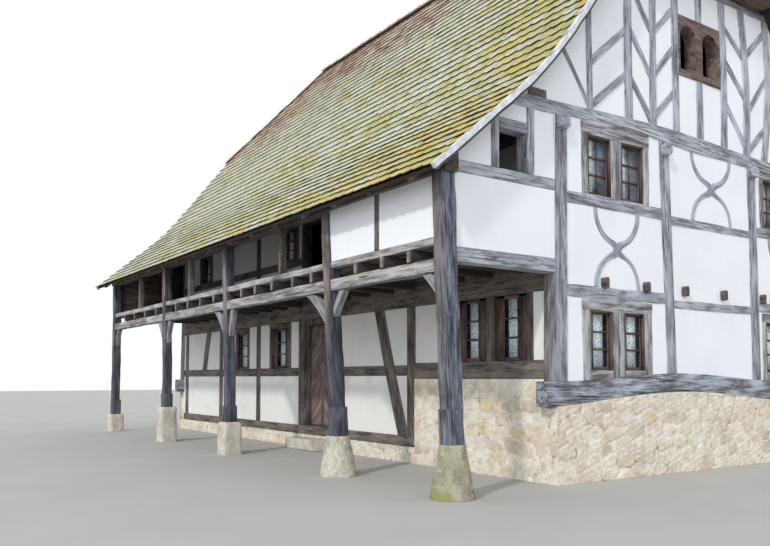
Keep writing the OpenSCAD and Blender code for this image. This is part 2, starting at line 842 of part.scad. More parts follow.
room_sash = (room_window[1] - room_window[0] - 120) / 2;
upper_rail_top = upper_rail_z + upper_rail_h;
front_openings = concat(
  [for (w = front_windows_at) [fx(w[1]), fx(w[0]), front_rail_z + front_rail_h, front_window_top]],
  [[fx(room_window[1]), fx(room_window[1]) + room_sash, room_sill_z + room_sill_h, head_z],
   [fx(room_window[0]) - room_sash, fx(room_window[0]), room_sill_z + room_sill_h, head_z]],
  [for (w = upper_windows_at) [fx(w[1]), fx(w[0]), upper_rail_top, upper_door_z]]
);
module front_rails_2d() {
  room_x = fx(room_post) + post_w / 2;
  sill = room_sill_z + room_sill_h;
  rail = front_rail_z + front_rail_h;
  bar(room_x, inner_near, room_sill_z, sill);
  difference() {
    union() {
      bar(fx(door_at) + door_frame_w, room_x, front_rail_z, rail);
      bar(inner_far, fx(door_at + door_w) - hinge_jamb_w, front_rail_z, rail);
      bar(inner_far, fx(upper_door_at[1]) - front_jamb - seat, upper_rail_z, upper_rail_top);
      bar(fx(upper_door_at[0]) + front_jamb + seat, inner_near, upper_rail_z, upper_rail_top);
    }
    front_posts_2d();
    raking_struts_2d();
  }
  for (w = front_windows_at) window_frame(w, rail + seat, front_window_top, front_jamb, head_z);
  for (w = upper_windows_at) window_frame(w, upper_rail_top + seat, upper_door_z, front_jamb, upper_head_z);
  window_frame(upper_door_at, joist_top, upper_door_z, front_jamb, upper_head_z);
  bar(fx(room_window[0]), fx(room_window[0]) + 110, sill + seat, head_z);
  bar(fx(room_window[1]) - 110, fx(room_window[1]), sill + seat, head_z);
  bar(fx(room_window[0]) - room_sash - 120, fx(room_window[0]) - room_sash, sill + seat, head_z);
}

module wall_posts() {
  color("#6e655b") {
    along(-wall_y, frame_t) {
      front_posts_2d();
      raking_struts_2d();
    }
    along(aisle_face - frame_t, frame_t) rear_posts_2d();
    for (i = [1 : 3])
      translate([gable_x - gallery_post_at[i] - post_w / 2, wall_y - post_w, 0]) {
        translate([0, 0, floor_z]) cube([post_w, post_w, upper_floor_z - floor_z]);
        translate([0, 0, upper_floor_z + board_t]) cube([post_w, post_w, tie_z - upper_floor_z - board_t]);
      }
  }
}

module wall_rails() {
  color("#6e655b") {
    along(-wall_y, frame_t) front_rails_2d();
    along(aisle_face - frame_t, frame_t) rear_rails_2d();
  }
}

module wall_beams() {
  color("#625a51") {
    along(-wall_y, frame_t) {
      bar(inner_far, inner_near, head_z, head_z + 2 * head_h);
      bar(inner_far, inner_near, upper_head_z, tie_z);
      bar(inner_far, fx(room_post) + post_w / 2, floor_z - low_sill_h, floor_z);
    }
    along(aisle_face - frame_t, frame_t) bar(inner_far, inner_near, plinth_h, sill_top);
  }
}

door_frame_w = 100;
hinge_jamb_w = 200;
module door_frame_2d() {
  difference() {
    bar(fx(door_at + door_w) - hinge_jamb_w, fx(door_at) + door_frame_w, floor_z, head_z);
    bar(fx(door_at + door_w) - door_gap, fx(door_at) + door_gap, floor_z, floor_z + door_h + 2 * door_gap);
  }
}

// The hinge pins stand just inside the wall, in line with the gap beside the leaf
hinge_x = fx(door_at + door_w);
door_in = -wall_y + frame_t;
pin_d = 16;
pin_clear = 1;
knuckle_d = 28;
pin_off = 19;
strap_w = 42;
strap_t = 8;
strap_len = 560;
shoulder_h = 16;
strap_z = [floor_z + 260, floor_z + door_h - 300];
module at_pin(z) {
  translate([hinge_x - door_gap / 2, door_in + pin_off, z]) children();
}

module door_frame() {
  color("#6b6258") {
    along(-wall_y, frame_t) door_frame_2d();
    for (z = strap_z) {
      at_pin(z) cylinder(d = pin_d, h = strap_w + 12);
      at_pin(z - shoulder_h) cylinder(d = knuckle_d, h = shoulder_h - 0.3);
      translate([hinge_x - door_gap - 70, door_in, z - shoulder_h]) cube([70 + door_gap / 2, pin_off, shoulder_h - 0.3]);
    }
  }
}

module door_leaf() {
  color("#7a6b5a")
    translate([hinge_x, door_in - door_t, floor_z + door_gap]) cube([door_w, door_t, door_h]);
}

module door_straps() {
  color("#3c3936")
    for (z = strap_z)
      difference() {
        union() {
          at_pin(z) cylinder(d = knuckle_d, h = strap_w);
          translate([hinge_x - door_gap / 2, door_in, z]) cube([strap_len, strap_t, strap_w]);
        }
        at_pin(z - 1) cylinder(d = pin_d + pin_clear, h = strap_w + 2);
      }
}

module door_step() {
  color("#a9a498")
    translate([fx(door_at + door_w) - 60, -wall_y - 20 - 320, 0]) cube([door_w + 120, 320, floor_z / 2]);
}

module wall_plaster() {
  color("#e6e4de") {
    along(-wall_y + plaster_set, frame_t - 2 * plaster_set)
      difference() {
        union() {
          bar(inner_far, fx(room_post) - post_w / 2, floor_z, head_z);
          bar(fx(room_post) + post_w / 2, inner_near, room_sill_z + room_sill_h, head_z);
          bar(inner_far, inner_near, joist_top, tie_z - head_h);
        }
        front_posts_2d();
        front_rails_2d();
        raking_struts_2d();
        openings(front_openings);
        bar(fx(upper_door_at[1]), fx(upper_door_at[0]), joist_top, upper_door_z);
        bar(fx(door_at + door_w) - hinge_jamb_w, fx(door_at) + door_frame_w, floor_z, head_z);
      }
    along(aisle_face - frame_t + plaster_set, frame_t - 2 * plaster_set)
      difference() {
        bar(far_x + post_w, gable_x - post_w, sill_top, eave_plate_z);
        rear_posts_2d();
        rear_rails_2d();
        openings(rear_openings);
      }
    both_gables(frame_t - 2 * plaster_set, plaster_set)
      difference() {
        intersection() {
          under_tiles();
          below_tie();
          bar(wall_y, aisle_face - frame_t, sill_top, tie_top);
        }
        tie_2d();
        aisle_end_2d();
      }
  }
}

rear_posts_at = [post_w / 2, gallery_post_2, 4240, gallery_post_3, 7700, gallery_post_4, 11200,
  house_len - post_w / 2];
rear_rail_z = rail1_z + 190;
rear_window_z = [sill_top + 260, sill_top + 1010];
rear_windows_at = [[2950, 3650], [6540, 7240], [9900, 10600]];
rear_openings = [for (w = rear_windows_at) [fx(w[1]), fx(w[0]), rear_window_z[0], rear_window_z[1]]];
module rear_posts_2d() {
  for (d = rear_posts_at) bar(fx(d) - post_w / 2, fx(d) + post_w / 2, sill_top, eave_plate_z);
}

module rear_rails_2d() {
  for (i = [0 : len(rear_posts_at) - 2])
    bar(fx(rear_posts_at[i + 1]) + post_w / 2, fx(rear_posts_at[i]) - post_w / 2, rear_rail_z,
      rear_rail_z + rail_h);
  for (w = rear_windows_at) {
    window_frame(w, sill_top, rear_window_z[1], front_jamb, rear_rail_z);
    bar(fx(w[1]) + seat, fx(w[0]) - seat, rear_window_z[0] - front_jamb, rear_window_z[0]);
  }
}

module pane_2d(w) {
  bar(w[0] + sash_w, w[1] - sash_w, w[2] + sash_w, w[3] - sash_w);
}

module window_glass() {
  pane_t = 8;
  mid = (sash_t - pane_t) / 2;
  color("#9fb3bb", 0.5) {
    both_gables(pane_t, sash_set + mid) for (w = gable_windows) pane_2d(w);
    along(-wall_y + sash_set + mid, pane_t) for (w = front_openings) pane_2d(w);
    along(aisle_face - sash_set - sash_t + mid, pane_t) for (w = rear_openings) pane_2d(w);
  }
}

module ground_floor() {
  color("#7c7266")
    translate([inner_far + plinth_back, -wall_y + frame_t, floor_z - 60])
      cube([inner_near - inner_far - 2 * plinth_back, wall_y + aisle_face - 2 * frame_t, 60]);
}

module floor_joists() {
  color("#756b5f")
    for (y = joists_y)
      translate([far_x - 60, y - joist_w / 2, rail1_top]) cube([house_len + 120, joist_w, joist_h - 20]);
}

module upper_floor() {
  color("#7c7266")
    translate([inner_far, -wall_y + frame_t, upper_floor_z])
      cube([inner_near - inner_far, wall_y - frame_t + aisle_face - frame_t, board_t]);
}

module attic_floor() {
  color("#7c7266")
    translate([inner_far, -wall_y, tie_top]) cube([inner_near - inner_far, 2 * wall_y, board_t]);
}

n_rafters = floor((house_len - 2 * frame_t - rafter_w) / rafter_gap);
function rafter_x(i) = inner_far + (inner_near - inner_far - rafter_w) * i / n_rafters;

// A main rafter runs from the ridge to the wall plate, under the sprocket
module rafter_2d() {
  deep = tile_t + rafter_t;
  low = [eave_y, ridge_z - eave_y * tan(pitch)];
  difference() {
    intersection() {
      polygon([ridge_point(tile_t + seat), low - [0, (tile_t + seat) / cos(pitch)], low - [0, deep / cos(pitch)],
        ridge_point(deep)]);
      bar(ridge_board_t / 2, eave_y, foot_z, ridge_z);
    }
    sprocket_2d(tile_t, sprocket_depth + seat);
  }
}

// The sprockets end behind the board at the eaves
fascia_up = [34, 62];
fascia_h = 110;
module sprocket_2d(d0, d1) {
  up = fascia_up[1] + seat;
  polygon(concat(kick_line(d0, pitch, eave_pitch), [tail(d0, up), tail(d1, up)], kick_line(d1, eave_pitch, pitch)));
}

module rafters() {
  color("#5c5046")
    for (i = [0 : n_rafters]) {
      x = rafter_x(i) + rafter_w;
      difference() {
        across(x, rafter_w) both_sides() rafter_2d();
        if (!fits_under_hips(x)) above_hip(tile_t + seat);
      }
    }
}

function fits_under_hips(x) = x < gable_x + hip_foot - hip_run - 200 && x - rafter_w > far_x - verge_far - hip_out + hip_run + 200;

module sprockets() {
  color("#5c5046")
    for (i = [0 : n_rafters])
      across(rafter_x(i) + rafter_w, rafter_w)
        both_sides() sprocket_2d(tile_t + seat, sprocket_depth);
}

module fascias() {
  color("#6a5142")
    across(gable_x + verge_near - verge_board_t, house_len + verge_near + verge_far - 2 * verge_board_t)
      both_sides()
        polygon([tail(tile_t + seat, fascia_up[0]), tail(tile_t + seat, fascia_up[1]),
          tail(tile_t + fascia_h, fascia_up[1]), tail(tile_t + fascia_h, fascia_up[0])]);
}

// Half-hip planes: the space above a hip's underside at depth d
module above_hip(d) {
  far = hip_run;
  for (s = [0, 1])
    along(-eave_y - 100, 2 * eave_y + 200) {
      foot = s == 0 ? gable_x + verge_near + hip_out : -(far_x - verge_far - hip_out);
      mirror([s, 0])
        polygon([[foot + far, hip_z - far * tan(hip_pitch) - d / cos(hip_pitch)], [foot + far, ridge_z + 2 * far],
          [foot - hip_run - far, ridge_z + 2 * far],
          [foot - hip_run - far, hip_z + (hip_run + far) * tan(hip_pitch) - d / cos(hip_pitch)]]);
    }
}

module roof_slope() {
  difference() {
    across(gable_x + verge_near, house_len + verge_near + verge_far) children();
    above_hip(tile_t + seat);
  }
}

module roof_front() {
  color("#8c9060") roof_slope() mirror([1, 0]) roof_strip(0, tile_t);
}

module roof_rear() {
  color("#8c9060") roof_slope() roof_strip(0, tile_t);
}

verge_board_t = 30;
verge_board_h = 110;
module verge_boards() {
  color("#cfc8bd")
    difference() {
      for (x = [gable_x + verge_near, far_x - verge_far + verge_board_t])
        across(x, verge_board_t) both_sides() roof_strip(tile_t + seat, tile_t + verge_board_h);
      above_hip(tile_t + seat);
    }
}

module half_hips() {
  foot_d = [sin(hip_pitch), cos(hip_pitch)] * tile_t;
  color("#8c9060")
    intersection() {
      for (s = [0, 1])
        along(-eave_y, 2 * eave_y) {
          foot = s == 0 ? gable_x + verge_near + hip_out : -(far_x - verge_far - hip_out);
          mirror([s, 0])
            polygon([[foot, hip_z], [foot - hip_run, ridge_z], [foot - hip_run - tile_t / sin(hip_pitch), ridge_z],
              [foot - foot_d[0], hip_z - foot_d[1]]]);
        }
      across(gable_x + hip_run, house_len + 2 * hip_run) under_roof(0);
    }
}

module hip_soffits() {
  board = 25;
  in = 70;
  w = (ridge_z - hip_z) / tan(pitch) - (tile_t + verge_board_h) / sin(pitch) - 20;
  color("#6a5142")
    for (x = [gable_x, far_x - verge_far - hip_out + in])
      translate([x, -w, top_beam_z + top_beam_h - board])
        cube([(x == gable_x ? verge_near : verge_far) + hip_out - in, 2 * w, board]);
}

module ridge_tiles() {
  ridge_cap = 45;
  wing = 130;
  color("#b9b2a4")
    across(gable_x + hip_foot - hip_run, house_len + verge_near + verge_far + 2 * hip_out - 2 * hip_run)
      translate([0, seat]) polygon([[0, ridge_z], [wing, ridge_z - wing * tan(pitch)], [wing, ridge_z - wing * tan(pitch) + ridge_cap * 1.5],
        [30, ridge_z + ridge_cap], [-30, ridge_z + ridge_cap],
        [-wing, ridge_z - wing * tan(pitch) + ridge_cap * 1.5], [-wing, ridge_z - wing * tan(pitch)]]);
}

plinth();
post_stones();
door_step();
sill_logs();
gable_posts();
gable_rails();
window_frames();
tie_beams();
gable_studs();
gable_braces();
gable_ornaments();
gable_plaster();
window_sashes();
window_glass();
arched_windows();
gallery_posts();
gallery_studs();
gallery_beams();
gallery_joists();
gallery_rails();
gallery_floor();
knee_braces();
gallery_panels();
end_boards();
porch_end_frame();
wall_posts();
wall_rails();
wall_beams();
wall_plaster();
door_frame();
door_leaf();
door_straps();
ground_floor();
floor_joists();
upper_floor();
attic_floor();
roof_plates();
rafters();
sprockets();
fascias();
verge_boards();
hip_soffits();
roof_front();
roof_rear();
half_hips();
ridge_tiles();
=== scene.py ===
"""Half-timbered house: tiles, timbers, plaster, stones, windows and door dressed over the frame's solids."""
import math

import bmesh
import bpy
import numpy as np
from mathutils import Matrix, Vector


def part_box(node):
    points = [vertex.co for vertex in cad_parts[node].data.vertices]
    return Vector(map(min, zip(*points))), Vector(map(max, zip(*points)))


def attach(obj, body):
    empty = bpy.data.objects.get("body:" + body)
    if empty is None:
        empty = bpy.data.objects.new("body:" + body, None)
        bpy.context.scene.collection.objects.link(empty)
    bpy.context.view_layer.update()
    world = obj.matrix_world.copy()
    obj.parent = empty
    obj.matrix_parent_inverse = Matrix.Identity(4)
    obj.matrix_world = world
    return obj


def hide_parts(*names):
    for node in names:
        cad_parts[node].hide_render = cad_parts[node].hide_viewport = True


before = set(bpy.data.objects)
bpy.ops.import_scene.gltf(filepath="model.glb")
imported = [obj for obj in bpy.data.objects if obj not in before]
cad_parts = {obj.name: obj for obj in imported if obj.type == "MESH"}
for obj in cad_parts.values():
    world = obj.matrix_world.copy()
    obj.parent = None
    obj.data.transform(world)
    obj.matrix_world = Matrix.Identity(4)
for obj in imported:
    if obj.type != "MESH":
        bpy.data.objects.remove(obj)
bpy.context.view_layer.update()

bl_info = {
    "name": "Half-Timbered House",
    "version": (1, 0, 0),
    "blender": (4, 5, 0),
    "location": "View3D > Sidebar > House",
    "description": "Dresses a half-timbered house with tiles, timbers, plaster, stones, windows and a door",
    "category": "Object",
}

# Places that other pieces are set out from, in metres
FAR_GABLE, GABLE = (corner[0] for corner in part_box("gable_posts"))
WALL = -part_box("wall_posts")[0][1]
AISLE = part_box("wall_posts")[1][1]
POST_LINE = WALL - 0.1
GALLERY = -(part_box("gallery_posts")[0][1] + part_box("gallery_posts")[1][1]) / 2
ROOM_WALL = GABLE - 2.852

# The roof's section: pitches, the arc of the kick and the flatter slope at the eaves
ROOF_LOW, ROOF_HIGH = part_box("roof_front")
HIP_LOW, HIP_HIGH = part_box("half_hips")
PITCH, EAVE_PITCH, HIP_PITCH = math.radians(51.7), math.radians(40.5), math.radians(43)
EAVE, RIDGE = -ROOF_LOW[1], ROOF_HIGH[2]
KICK_R, TAIL = 6.3, 1.58
ARC = KICK_R * (PITCH - EAVE_PITCH)
ARC_Y = EAVE + KICK_R * math.sin(EAVE_PITCH) - TAIL * math.cos(EAVE_PITCH)
KICK_Y = ARC_Y - KICK_R * math.sin(PITCH)
ARC_Z = RIDGE - KICK_Y * math.tan(PITCH) + KICK_R * math.cos(PITCH)
STRAIGHT = KICK_Y / math.cos(PITCH)
LENGTH = STRAIGHT + ARC + TAIL
HIP_FOOT = 7.06
HIP_RISE = RIDGE - HIP_FOOT
HIP_RUN, HIP_HALF = HIP_RISE / math.tan(HIP_PITCH), HIP_RISE / math.tan(PITCH)

# Tiles: points along and across one, how far a head laps under the next course and sinks, the deck's depths
ROWS, ACROSS = 5, 7
TILE_POINTS = ROWS * ACROSS
LAP, SUNK = 0.05, 0.026
DECK_TOP, DECK_UNDER = 0.046, 0.075


# Meshes from arrays

def rgb(code):
    """Scene colour of a hex code."""
    c = np.array([int(code[i:i + 2], 16) for i in (1, 3, 5)]) / 255
    c = np.where(c > 0.04045, ((c + 0.055) / 1.055) ** 2.4, c / 12.92)
    return (*c.tolist(), 1.0)


def mesh_from(name, points, faces, values=None):
    """Mesh of (n, 3) points and a list of (m, k) arrays of corner numbers, with values kept on the points."""
    mesh = bpy.data.meshes.new(name)
    points = np.asarray(points, dtype=np.float32)
    faces = [np.asarray(f, dtype=np.int32) for f in faces if len(f)]
    sizes = np.concatenate([np.full(len(f), f.shape[1], dtype=np.int32) for f in faces])
    loops = np.concatenate([f.ravel() for f in faces])
    mesh.vertices.add(len(points))
    mesh.vertices.foreach_set("co", points.ravel())
    mesh.loops.add(len(loops))
    mesh.loops.foreach_set("vertex_index", loops)
    mesh.polygons.add(len(sizes))
    mesh.polygons.foreach_set("loop_start", np.concatenate([[0], np.cumsum(sizes)[:-1]]).astype(np.int32))
    mesh.update(calc_edges=True)
    for key, array in (values or {}).items():
        array = np.asarray(array, dtype=np.float32)
        plain = array.ndim == 1
        layer = mesh.attributes.new(key, "FLOAT" if plain else "FLOAT_VECTOR", "POINT")
        layer.data.foreach_set("value" if plain else "vector", array.ravel())
    return mesh


def place(name, arrays, material, nodes=(), body="house", smooth=35):
    """Makes arrays a piece that rides on a body and stands for some nodes, smooth below some degrees."""
    old = bpy.data.objects.get(name)
    if old is not None:
        bpy.data.objects.remove(old)
    mesh = mesh_from(name, *arrays)
    piece = bpy.data.objects.new(name, mesh)
    bpy.context.scene.collection.objects.link(piece)
    mesh.materials.append(material)
    if smooth:
        mesh.polygons.foreach_set("use_smooth", np.ones(len(mesh.polygons), dtype=bool))
        mesh.set_sharp_from_angle(angle=math.radians(smooth))
    mesh.update()
    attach(piece, body)
    if nodes:
        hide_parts(*nodes)


def paint(name, material):
    """Gives a node of the frame its material."""
    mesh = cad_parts[name].data
    mesh.materials.clear()
    mesh.materials.append(material)


def joined(parts):
    """One set of arrays from a list of (points, faces, values), with the corner numbers moved on."""
    points, faces, values, start = [], [], {}, 0
    for p, f, v in parts:
        points.append(p)
        faces += [np.asarray(a) + start for a in f if len(a)]
        for key, array in v.items():
            values.setdefault(key, []).append(array)
        start += len(p)
    return np.concatenate(points), faces, {key: np.concatenate(a) for key, a in values.items()}


def grid_faces(rows, columns, wrap=False, flip=False):
    """Quads of a grid of rows by columns; with wrap the last column meets the first."""
    r, c = np.meshgrid(np.arange(rows - 1), np.arange(columns if wrap else columns - 1), indexing="ij")
    n = (c + 1) % columns
    quads = np.stack([r * columns + c, r * columns + n, (r + 1) * columns + n, (r + 1) * columns + c], -1)
    quads = quads.reshape(-1, 4)
    return quads[:, ::-1] if flip else quads


def strip(rings, flip):
    """Closed strip through (n, 4, 3) rings of four points, with its faces and its two end caps."""
    n = len(rings)
    caps = np.array([[0, 1, 2, 3], [4 * n - 1, 4 * n - 2, 4 * n - 3, 4 * n - 4]])
    return rings.reshape(-1, 3), [grid_faces(n, 4, wrap=True, flip=flip), caps[:, ::-1] if flip else caps]


def boxes(low, high, seed=0):
    """Plain boxes between arrays of low and high corners, each with one tone and the grain along it."""
    low, high = np.asarray(low, float), np.asarray(high, float)
    pick = np.array([[0, 0, 0], [1, 0, 0], [1, 1, 0], [0, 1, 0], [0, 0, 1], [1, 0, 1], [1, 1, 1], [0, 1, 1]])
    points = low[:, None] + (high - low)[:, None] * pick
    quads = np.array([[0, 3, 2, 1], [4, 5, 6, 7], [0, 1, 5, 4], [1, 2, 6, 5], [2, 3, 7, 6], [3, 0, 4, 7]])
    faces = (np.arange(len(low))[:, None, None] * 8 + quads).reshape(-1, 4)
    rng = np.random.default_rng(seed)
    order = np.argsort(-(high - low), axis=1)
    turned = np.take_along_axis(points, np.repeat(order[:, None], 8, 1), 2)
    grain = turned + rng.uniform(0, 40, (len(low), 1, 3))
    tone = np.repeat(rng.uniform(0, 1, len(low)), 8)
    return points.reshape(-1, 3), [faces], {"grain": grain.reshape(-1, 3), "tone": tone}


# Solids of the frame

def corners(name):
    """Lowest and highest corner of a node."""
    return (np.array(corner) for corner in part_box(name))


def reach(points):
    """Lowest and highest corner of some points."""
    return points.min(0), points.max(0)


def triangles(mesh):
    """Points and triangles of a mesh."""
    mesh.calc_loop_triangles()
    points = np.empty(len(mesh.vertices) * 3)
    mesh.vertices.foreach_get("co", points)
    tris = np.empty(len(mesh.loop_triangles) * 3, dtype=np.int64)
    mesh.loop_triangles.foreach_get("vertices", tris)
    return points.reshape(-1, 3), tris.reshape(-1, 3)


def solids(node):
    """A node's solids as (points, triangles): equal points merge, then the lowest point number spreads."""
    points, tris = triangles(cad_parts[node].data)
    keys, weld = np.unique(np.round(points, 5), axis=0, return_inverse=True)
    tris = weld.reshape(-1)[tris]
    tris = tris[(tris[:, 0] != tris[:, 1]) & (tris[:, 1] != tris[:, 2]) & (tris[:, 0] != tris[:, 2])]
    label, new = None, np.arange(len(keys))
    while label is None or (new != label).any():
        label, new = new, new.copy()
        np.minimum.at(new, tris.ravel(), np.repeat(label[tris].min(axis=1), 3))
        new = new[new]
    owner = label[tris[:, 0]]
    found = []
    for value in np.unique(owner):
        used, inverse = np.unique(tris[owner == value], return_inverse=True)
        found.append((keys[used], inverse.reshape(-1, 3)))
    return found


def axes_of(points):
    """Middle and main directions of some points, longest spread first."""
    middle = (points.min(0) + points.max(0)) / 2
    return middle, np.linalg.svd(points - points.mean(0), full_matrices=False)[2]


def volume(points, tris):
    """Volume inside a closed set of triangles."""
    a, b, c = (points[tris[:, k]] for k in range(3))
    return abs(np.einsum("ij,ij->i", a, np.cross(b, c)).sum()) / 6


def area(points, tris):
    """Area of a set of triangles."""
    a, b, c = (points[tris[:, k]] for k in range(3))
    return np.linalg.norm(np.cross(b - a, c - a), axis=1).sum() / 2


def east_face(away):
    """Share of each point that faces the carved gable, from its place around the middle."""
    away = away / (np.abs(away).max(axis=-2, keepdims=True) + 1e-6)
    return np.clip((away[..., 0] - np.abs(away[..., 1])) * 5 + 0.5, 0, 1)


def two_ends(points, tris):
    """A box-like timber's corners as two matching loops of four, or None where its ends aren't plain."""
    middle, axes = axes_of(points)
    along = (points - middle) @ axes[0]
    order = np.argsort(along)
    a, b = points[order[:4]], points[order[4:]]
    gap = along[order[4:]].min() - along[order[:4]].max()
    flat_a, flat_b = (a - middle) @ axes[1:].T, (b - middle) @ axes[1:].T
    turn = np.argsort(np.arctan2(*(flat_a - flat_a.mean(0)).T[::-1]))
    a, flat_a = a[turn], flat_a[turn]
    match = np.linalg.norm(flat_a[:, None] - flat_b[None], axis=2).argmin(1)
    if len(set(match.tolist())) < 4 or gap <= 0:
        return None
    b = b[match]
    side = np.linalg.norm(np.roll(a, -1, 0) - a, axis=1).max()
    around = [[k, (k + 1) % 4, 4 + (k + 1) % 4, 4 + k] for k in range(4)]
    sides = np.array(around + [[3, 2, 1, 0], [4, 5, 6, 7]])
    block = np.concatenate([sides[:, :3], sides[:, [0, 2, 3]]])
    plain = abs(volume(np.concatenate([a, b]), block) / volume(points, tris) - 1) <= 0.03
    return (a, b) if plain and gap >= 1.2 * side else None


def outline(width, depth, round_off):
    """Closed outline of a rounded rectangle in shares of its width and depth, six points a side."""
    sides = []
    for size in (width, depth):
        r = min(0.3, round_off / size)
        sides.append(np.array([[r * 0.3, r, 0.35, 0.65, 1 - r, 1 - r * 0.3], [r * 0.3, 0, 0, 0, 0, r * 0.3]]))
    (u, low_u), (v, low_v) = sides
    return np.concatenate([u, 1 - low_u, u[::-1], low_u]), np.concatenate([low_v, v, 1 - low_v, v[::-1]])


def timber(ends, round_off, wane, rng, step):
    """Rounded timber between two ends: corner k runs as (1-s) a_k + s b_k, and each ring of the rounded
    outline is drawn in towards its middle by wane times a sum of sines of s and of the place on the ring."""
    a, b = ends
    length = np.linalg.norm(b.mean(0) - a.mean(0))
    width, depth = ((np.linalg.norm(a[k] - a[0]) + np.linalg.norm(b[k] - b[0])) / 2 for k in (1, 3))
    u, v = outline(width, depth, round_off)
    n = len(u)
    rows = max(2, int(length / step)) + 1
    s = np.linspace(0, 1, rows)[:, None]
    ring = np.arange(n)[None] / n * 2 * np.pi
    k = rng.uniform(0, 2 * np.pi, 8)
    pull = (np.sin(s * length * 2.3 + k[0] + ring) + np.sin(s * length * 5.1 + k[1] - ring)
            + 0.6 * np.sin(s * length * 9.7 + k[2] + 2 * ring)
            + 0.5 * np.sin(s * length * 17 + k[3] + 3 * ring))
    pull = wane * np.clip(0.42 + 0.2 * pull, 0, 1)
    uu = 0.5 + (u[None] - 0.5) * (1 - 2 * pull / width)
    vv = 0.5 + (v[None] - 0.5) * (1 - 2 * pull / depth)
    corner = (1 - s[..., None]) * a[None] + s[..., None] * b[None]
    shares = ((1 - uu) * (1 - vv), uu * (1 - vv), uu * vv, (1 - uu) * vv)
    points = sum(share[..., None] * corner[:, j, None] for j, share in enumerate(shares))
    turn = np.dot(np.cross(a[1] - a[0], a[3] - a[0]), b.mean(0) - a.mean(0)) < 0
    caps = np.stack([np.arange(n)[::-1], np.arange(n) + (rows - 1) * n])
    faces = [grid_faces(rows, n, wrap=True, flip=turn), caps[:, ::-1] if turn else caps]
    grain = np.stack([np.broadcast_to(s * length, uu.shape), (uu - 0.5) * width, (vv - 0.5) * depth], -1)
    values = {"grain": (grain + rng.uniform(0, 40, 3)).reshape(-1, 3),
              "tone": np.full(rows * n, rng.uniform(0, 1)),
              "east": east_face(points - corner.mean(axis=1, keepdims=True)).reshape(-1)}
    return points.reshape(-1, 3), faces, values


def softened(points, tris, width, rng):
    """A solid with its flat neighbours merged and its edges rounded, or as it was where that fails."""
    mesh = mesh_from("soft", points, [tris])
    bm = bmesh.new()
    bm.from_mesh(mesh)
    bmesh.ops.dissolve_limit(bm, angle_limit=0.01, verts=bm.verts, edges=bm.edges)
    sharp = [e for e in bm.edges if len(e.link_faces) == 2 and e.calc_face_angle(0) > 0.35]
    bmesh.ops.bevel(bm, geom=sharp, offset=width, segments=2, profile=0.6, affect="EDGES", clamp_overlap=True)
    bmesh.ops.triangulate(bm, faces=bm.faces)
    closed = all(len(e.link_faces) == 2 for e in bm.edges)
    bm.to_mesh(mesh)
    bm.free()
    soft, cut = triangles(mesh)
    bpy.data.meshes.remove(mesh)
    kept = volume(soft - points[0], cut) / volume(points - points[0], tris)
    if closed and 0.8 < kept < 1.001 and area(soft, cut) < area(points, tris):
        points, tris = soft, cut
    middle, axes = axes_of(points)
    grain = (points - middle) @ axes.T + rng.uniform(0, 40, 3)
    return points, [tris], {"grain": grain, "tone": np.full(len(points), rng.uniform(0, 1)),
                            "east": east_face(points - middle)}


def timbers(name, nodes, material, round_off, wane, seed, step=0.11, only=None, shape=None):
    """Dresses the solids of some nodes as old timbers; only picks among them and shape moves their points."""
    rng = np.random.default_rng(seed)
    parts = []
    for points, tris in (solid for node in nodes for solid in solids(node)):
        if only is not None and not only(points):
            continue
        if shape is not None:
            points = shape(points.copy())
        ends = two_ends(points, tris) if len(points) == 8 and len(tris) == 12 else None
        parts.append(softened(points, tris, round_off * 0.8, rng) if ends is None
                     else timber(ends, round_off, wane, rng, step))
    place(name, joined(parts), material, nodes)


# Node trees

class Signal:
    """A node's output; a sum, difference or product of it adds a Math node to its tree."""

    def __init__(self, socket):
        self.socket, self.tree = socket, socket.id_data

    def maths(self, operation, other=0.0):
        """One step of arithmetic with a number or another output."""
        return through(self, "ShaderNodeMath", {0: self, 1: other}, operation=operation)

    def __add__(self, other):
        return self.maths("ADD", other)

    def __sub__(self, other):
        return self.maths("SUBTRACT", other)

    def __mul__(self, other):
        return self.maths("MULTIPLY", other)


def add(tree, kind, inputs=None, **props):
    """Adds a node, sets its properties, and sets or links its inputs; a text is a colour's hex code."""
    new = tree.nodes.new(kind)
    for key, value in props.items():
        setattr(new, key, value)
    for key, value in (inputs or {}).items():
        if isinstance(value, Signal):
            tree.links.new(value.socket, new.inputs[key])
        else:
            new.inputs[key].default_value = rgb(value) if isinstance(value, str) else value
    return new


def through(signal, kind, inputs, out=0, **props):
    """Output of a new node in a signal's tree."""
    return Signal(add(signal.tree, kind, inputs, **props).outputs[out])


def ramp(fac, stops):
    """Colour ramp of (place, colour) stops; a bare number stands for a grey."""
    new = add(fac.tree, "ShaderNodeValToRGB", {"Fac": fac})
    elements = new.color_ramp.elements
    while len(elements) < len(stops):
        elements.new(0.5)
    for e, (at, colour) in zip(elements, stops):
        e.position = at
        e.color = rgb(colour) if isinstance(colour, str) else (colour, colour, colour, 1)
    return Signal(new.outputs["Color"])


def noise(vector, scale, detail=3.0, rough=0.55, stretch=None, distortion=0.0):
    """Noise value at a vector, which may be stretched first."""
    if stretch is not None:
        vector = through(vector, "ShaderNodeVectorMath", {0: vector, 1: stretch}, operation="MULTIPLY")
    inputs = {"Vector": vector, "Scale": scale, "Detail": detail, "Roughness": rough,
              "Distortion": distortion}
    return through(vector, "ShaderNodeTexNoise", inputs, "Fac")


def blend(fac, a, b):
    """Mix of two colours."""
    return through(fac, "ShaderNodeMix", {"Factor": fac, 6: a, 7: b}, 2, data_type="RGBA")


def mapped(value, start, end, top=1.0):
    """Share from 0 at the start to top at the end."""
    inputs = {"Value": value, "From Min": start, "From Max": end, "To Max": top}
    return through(value, "ShaderNodeMapRange", inputs)


def part(vector, axis):
    """One part of a vector."""
    return through(vector, "ShaderNodeSeparateXYZ", {0: vector}, axis)


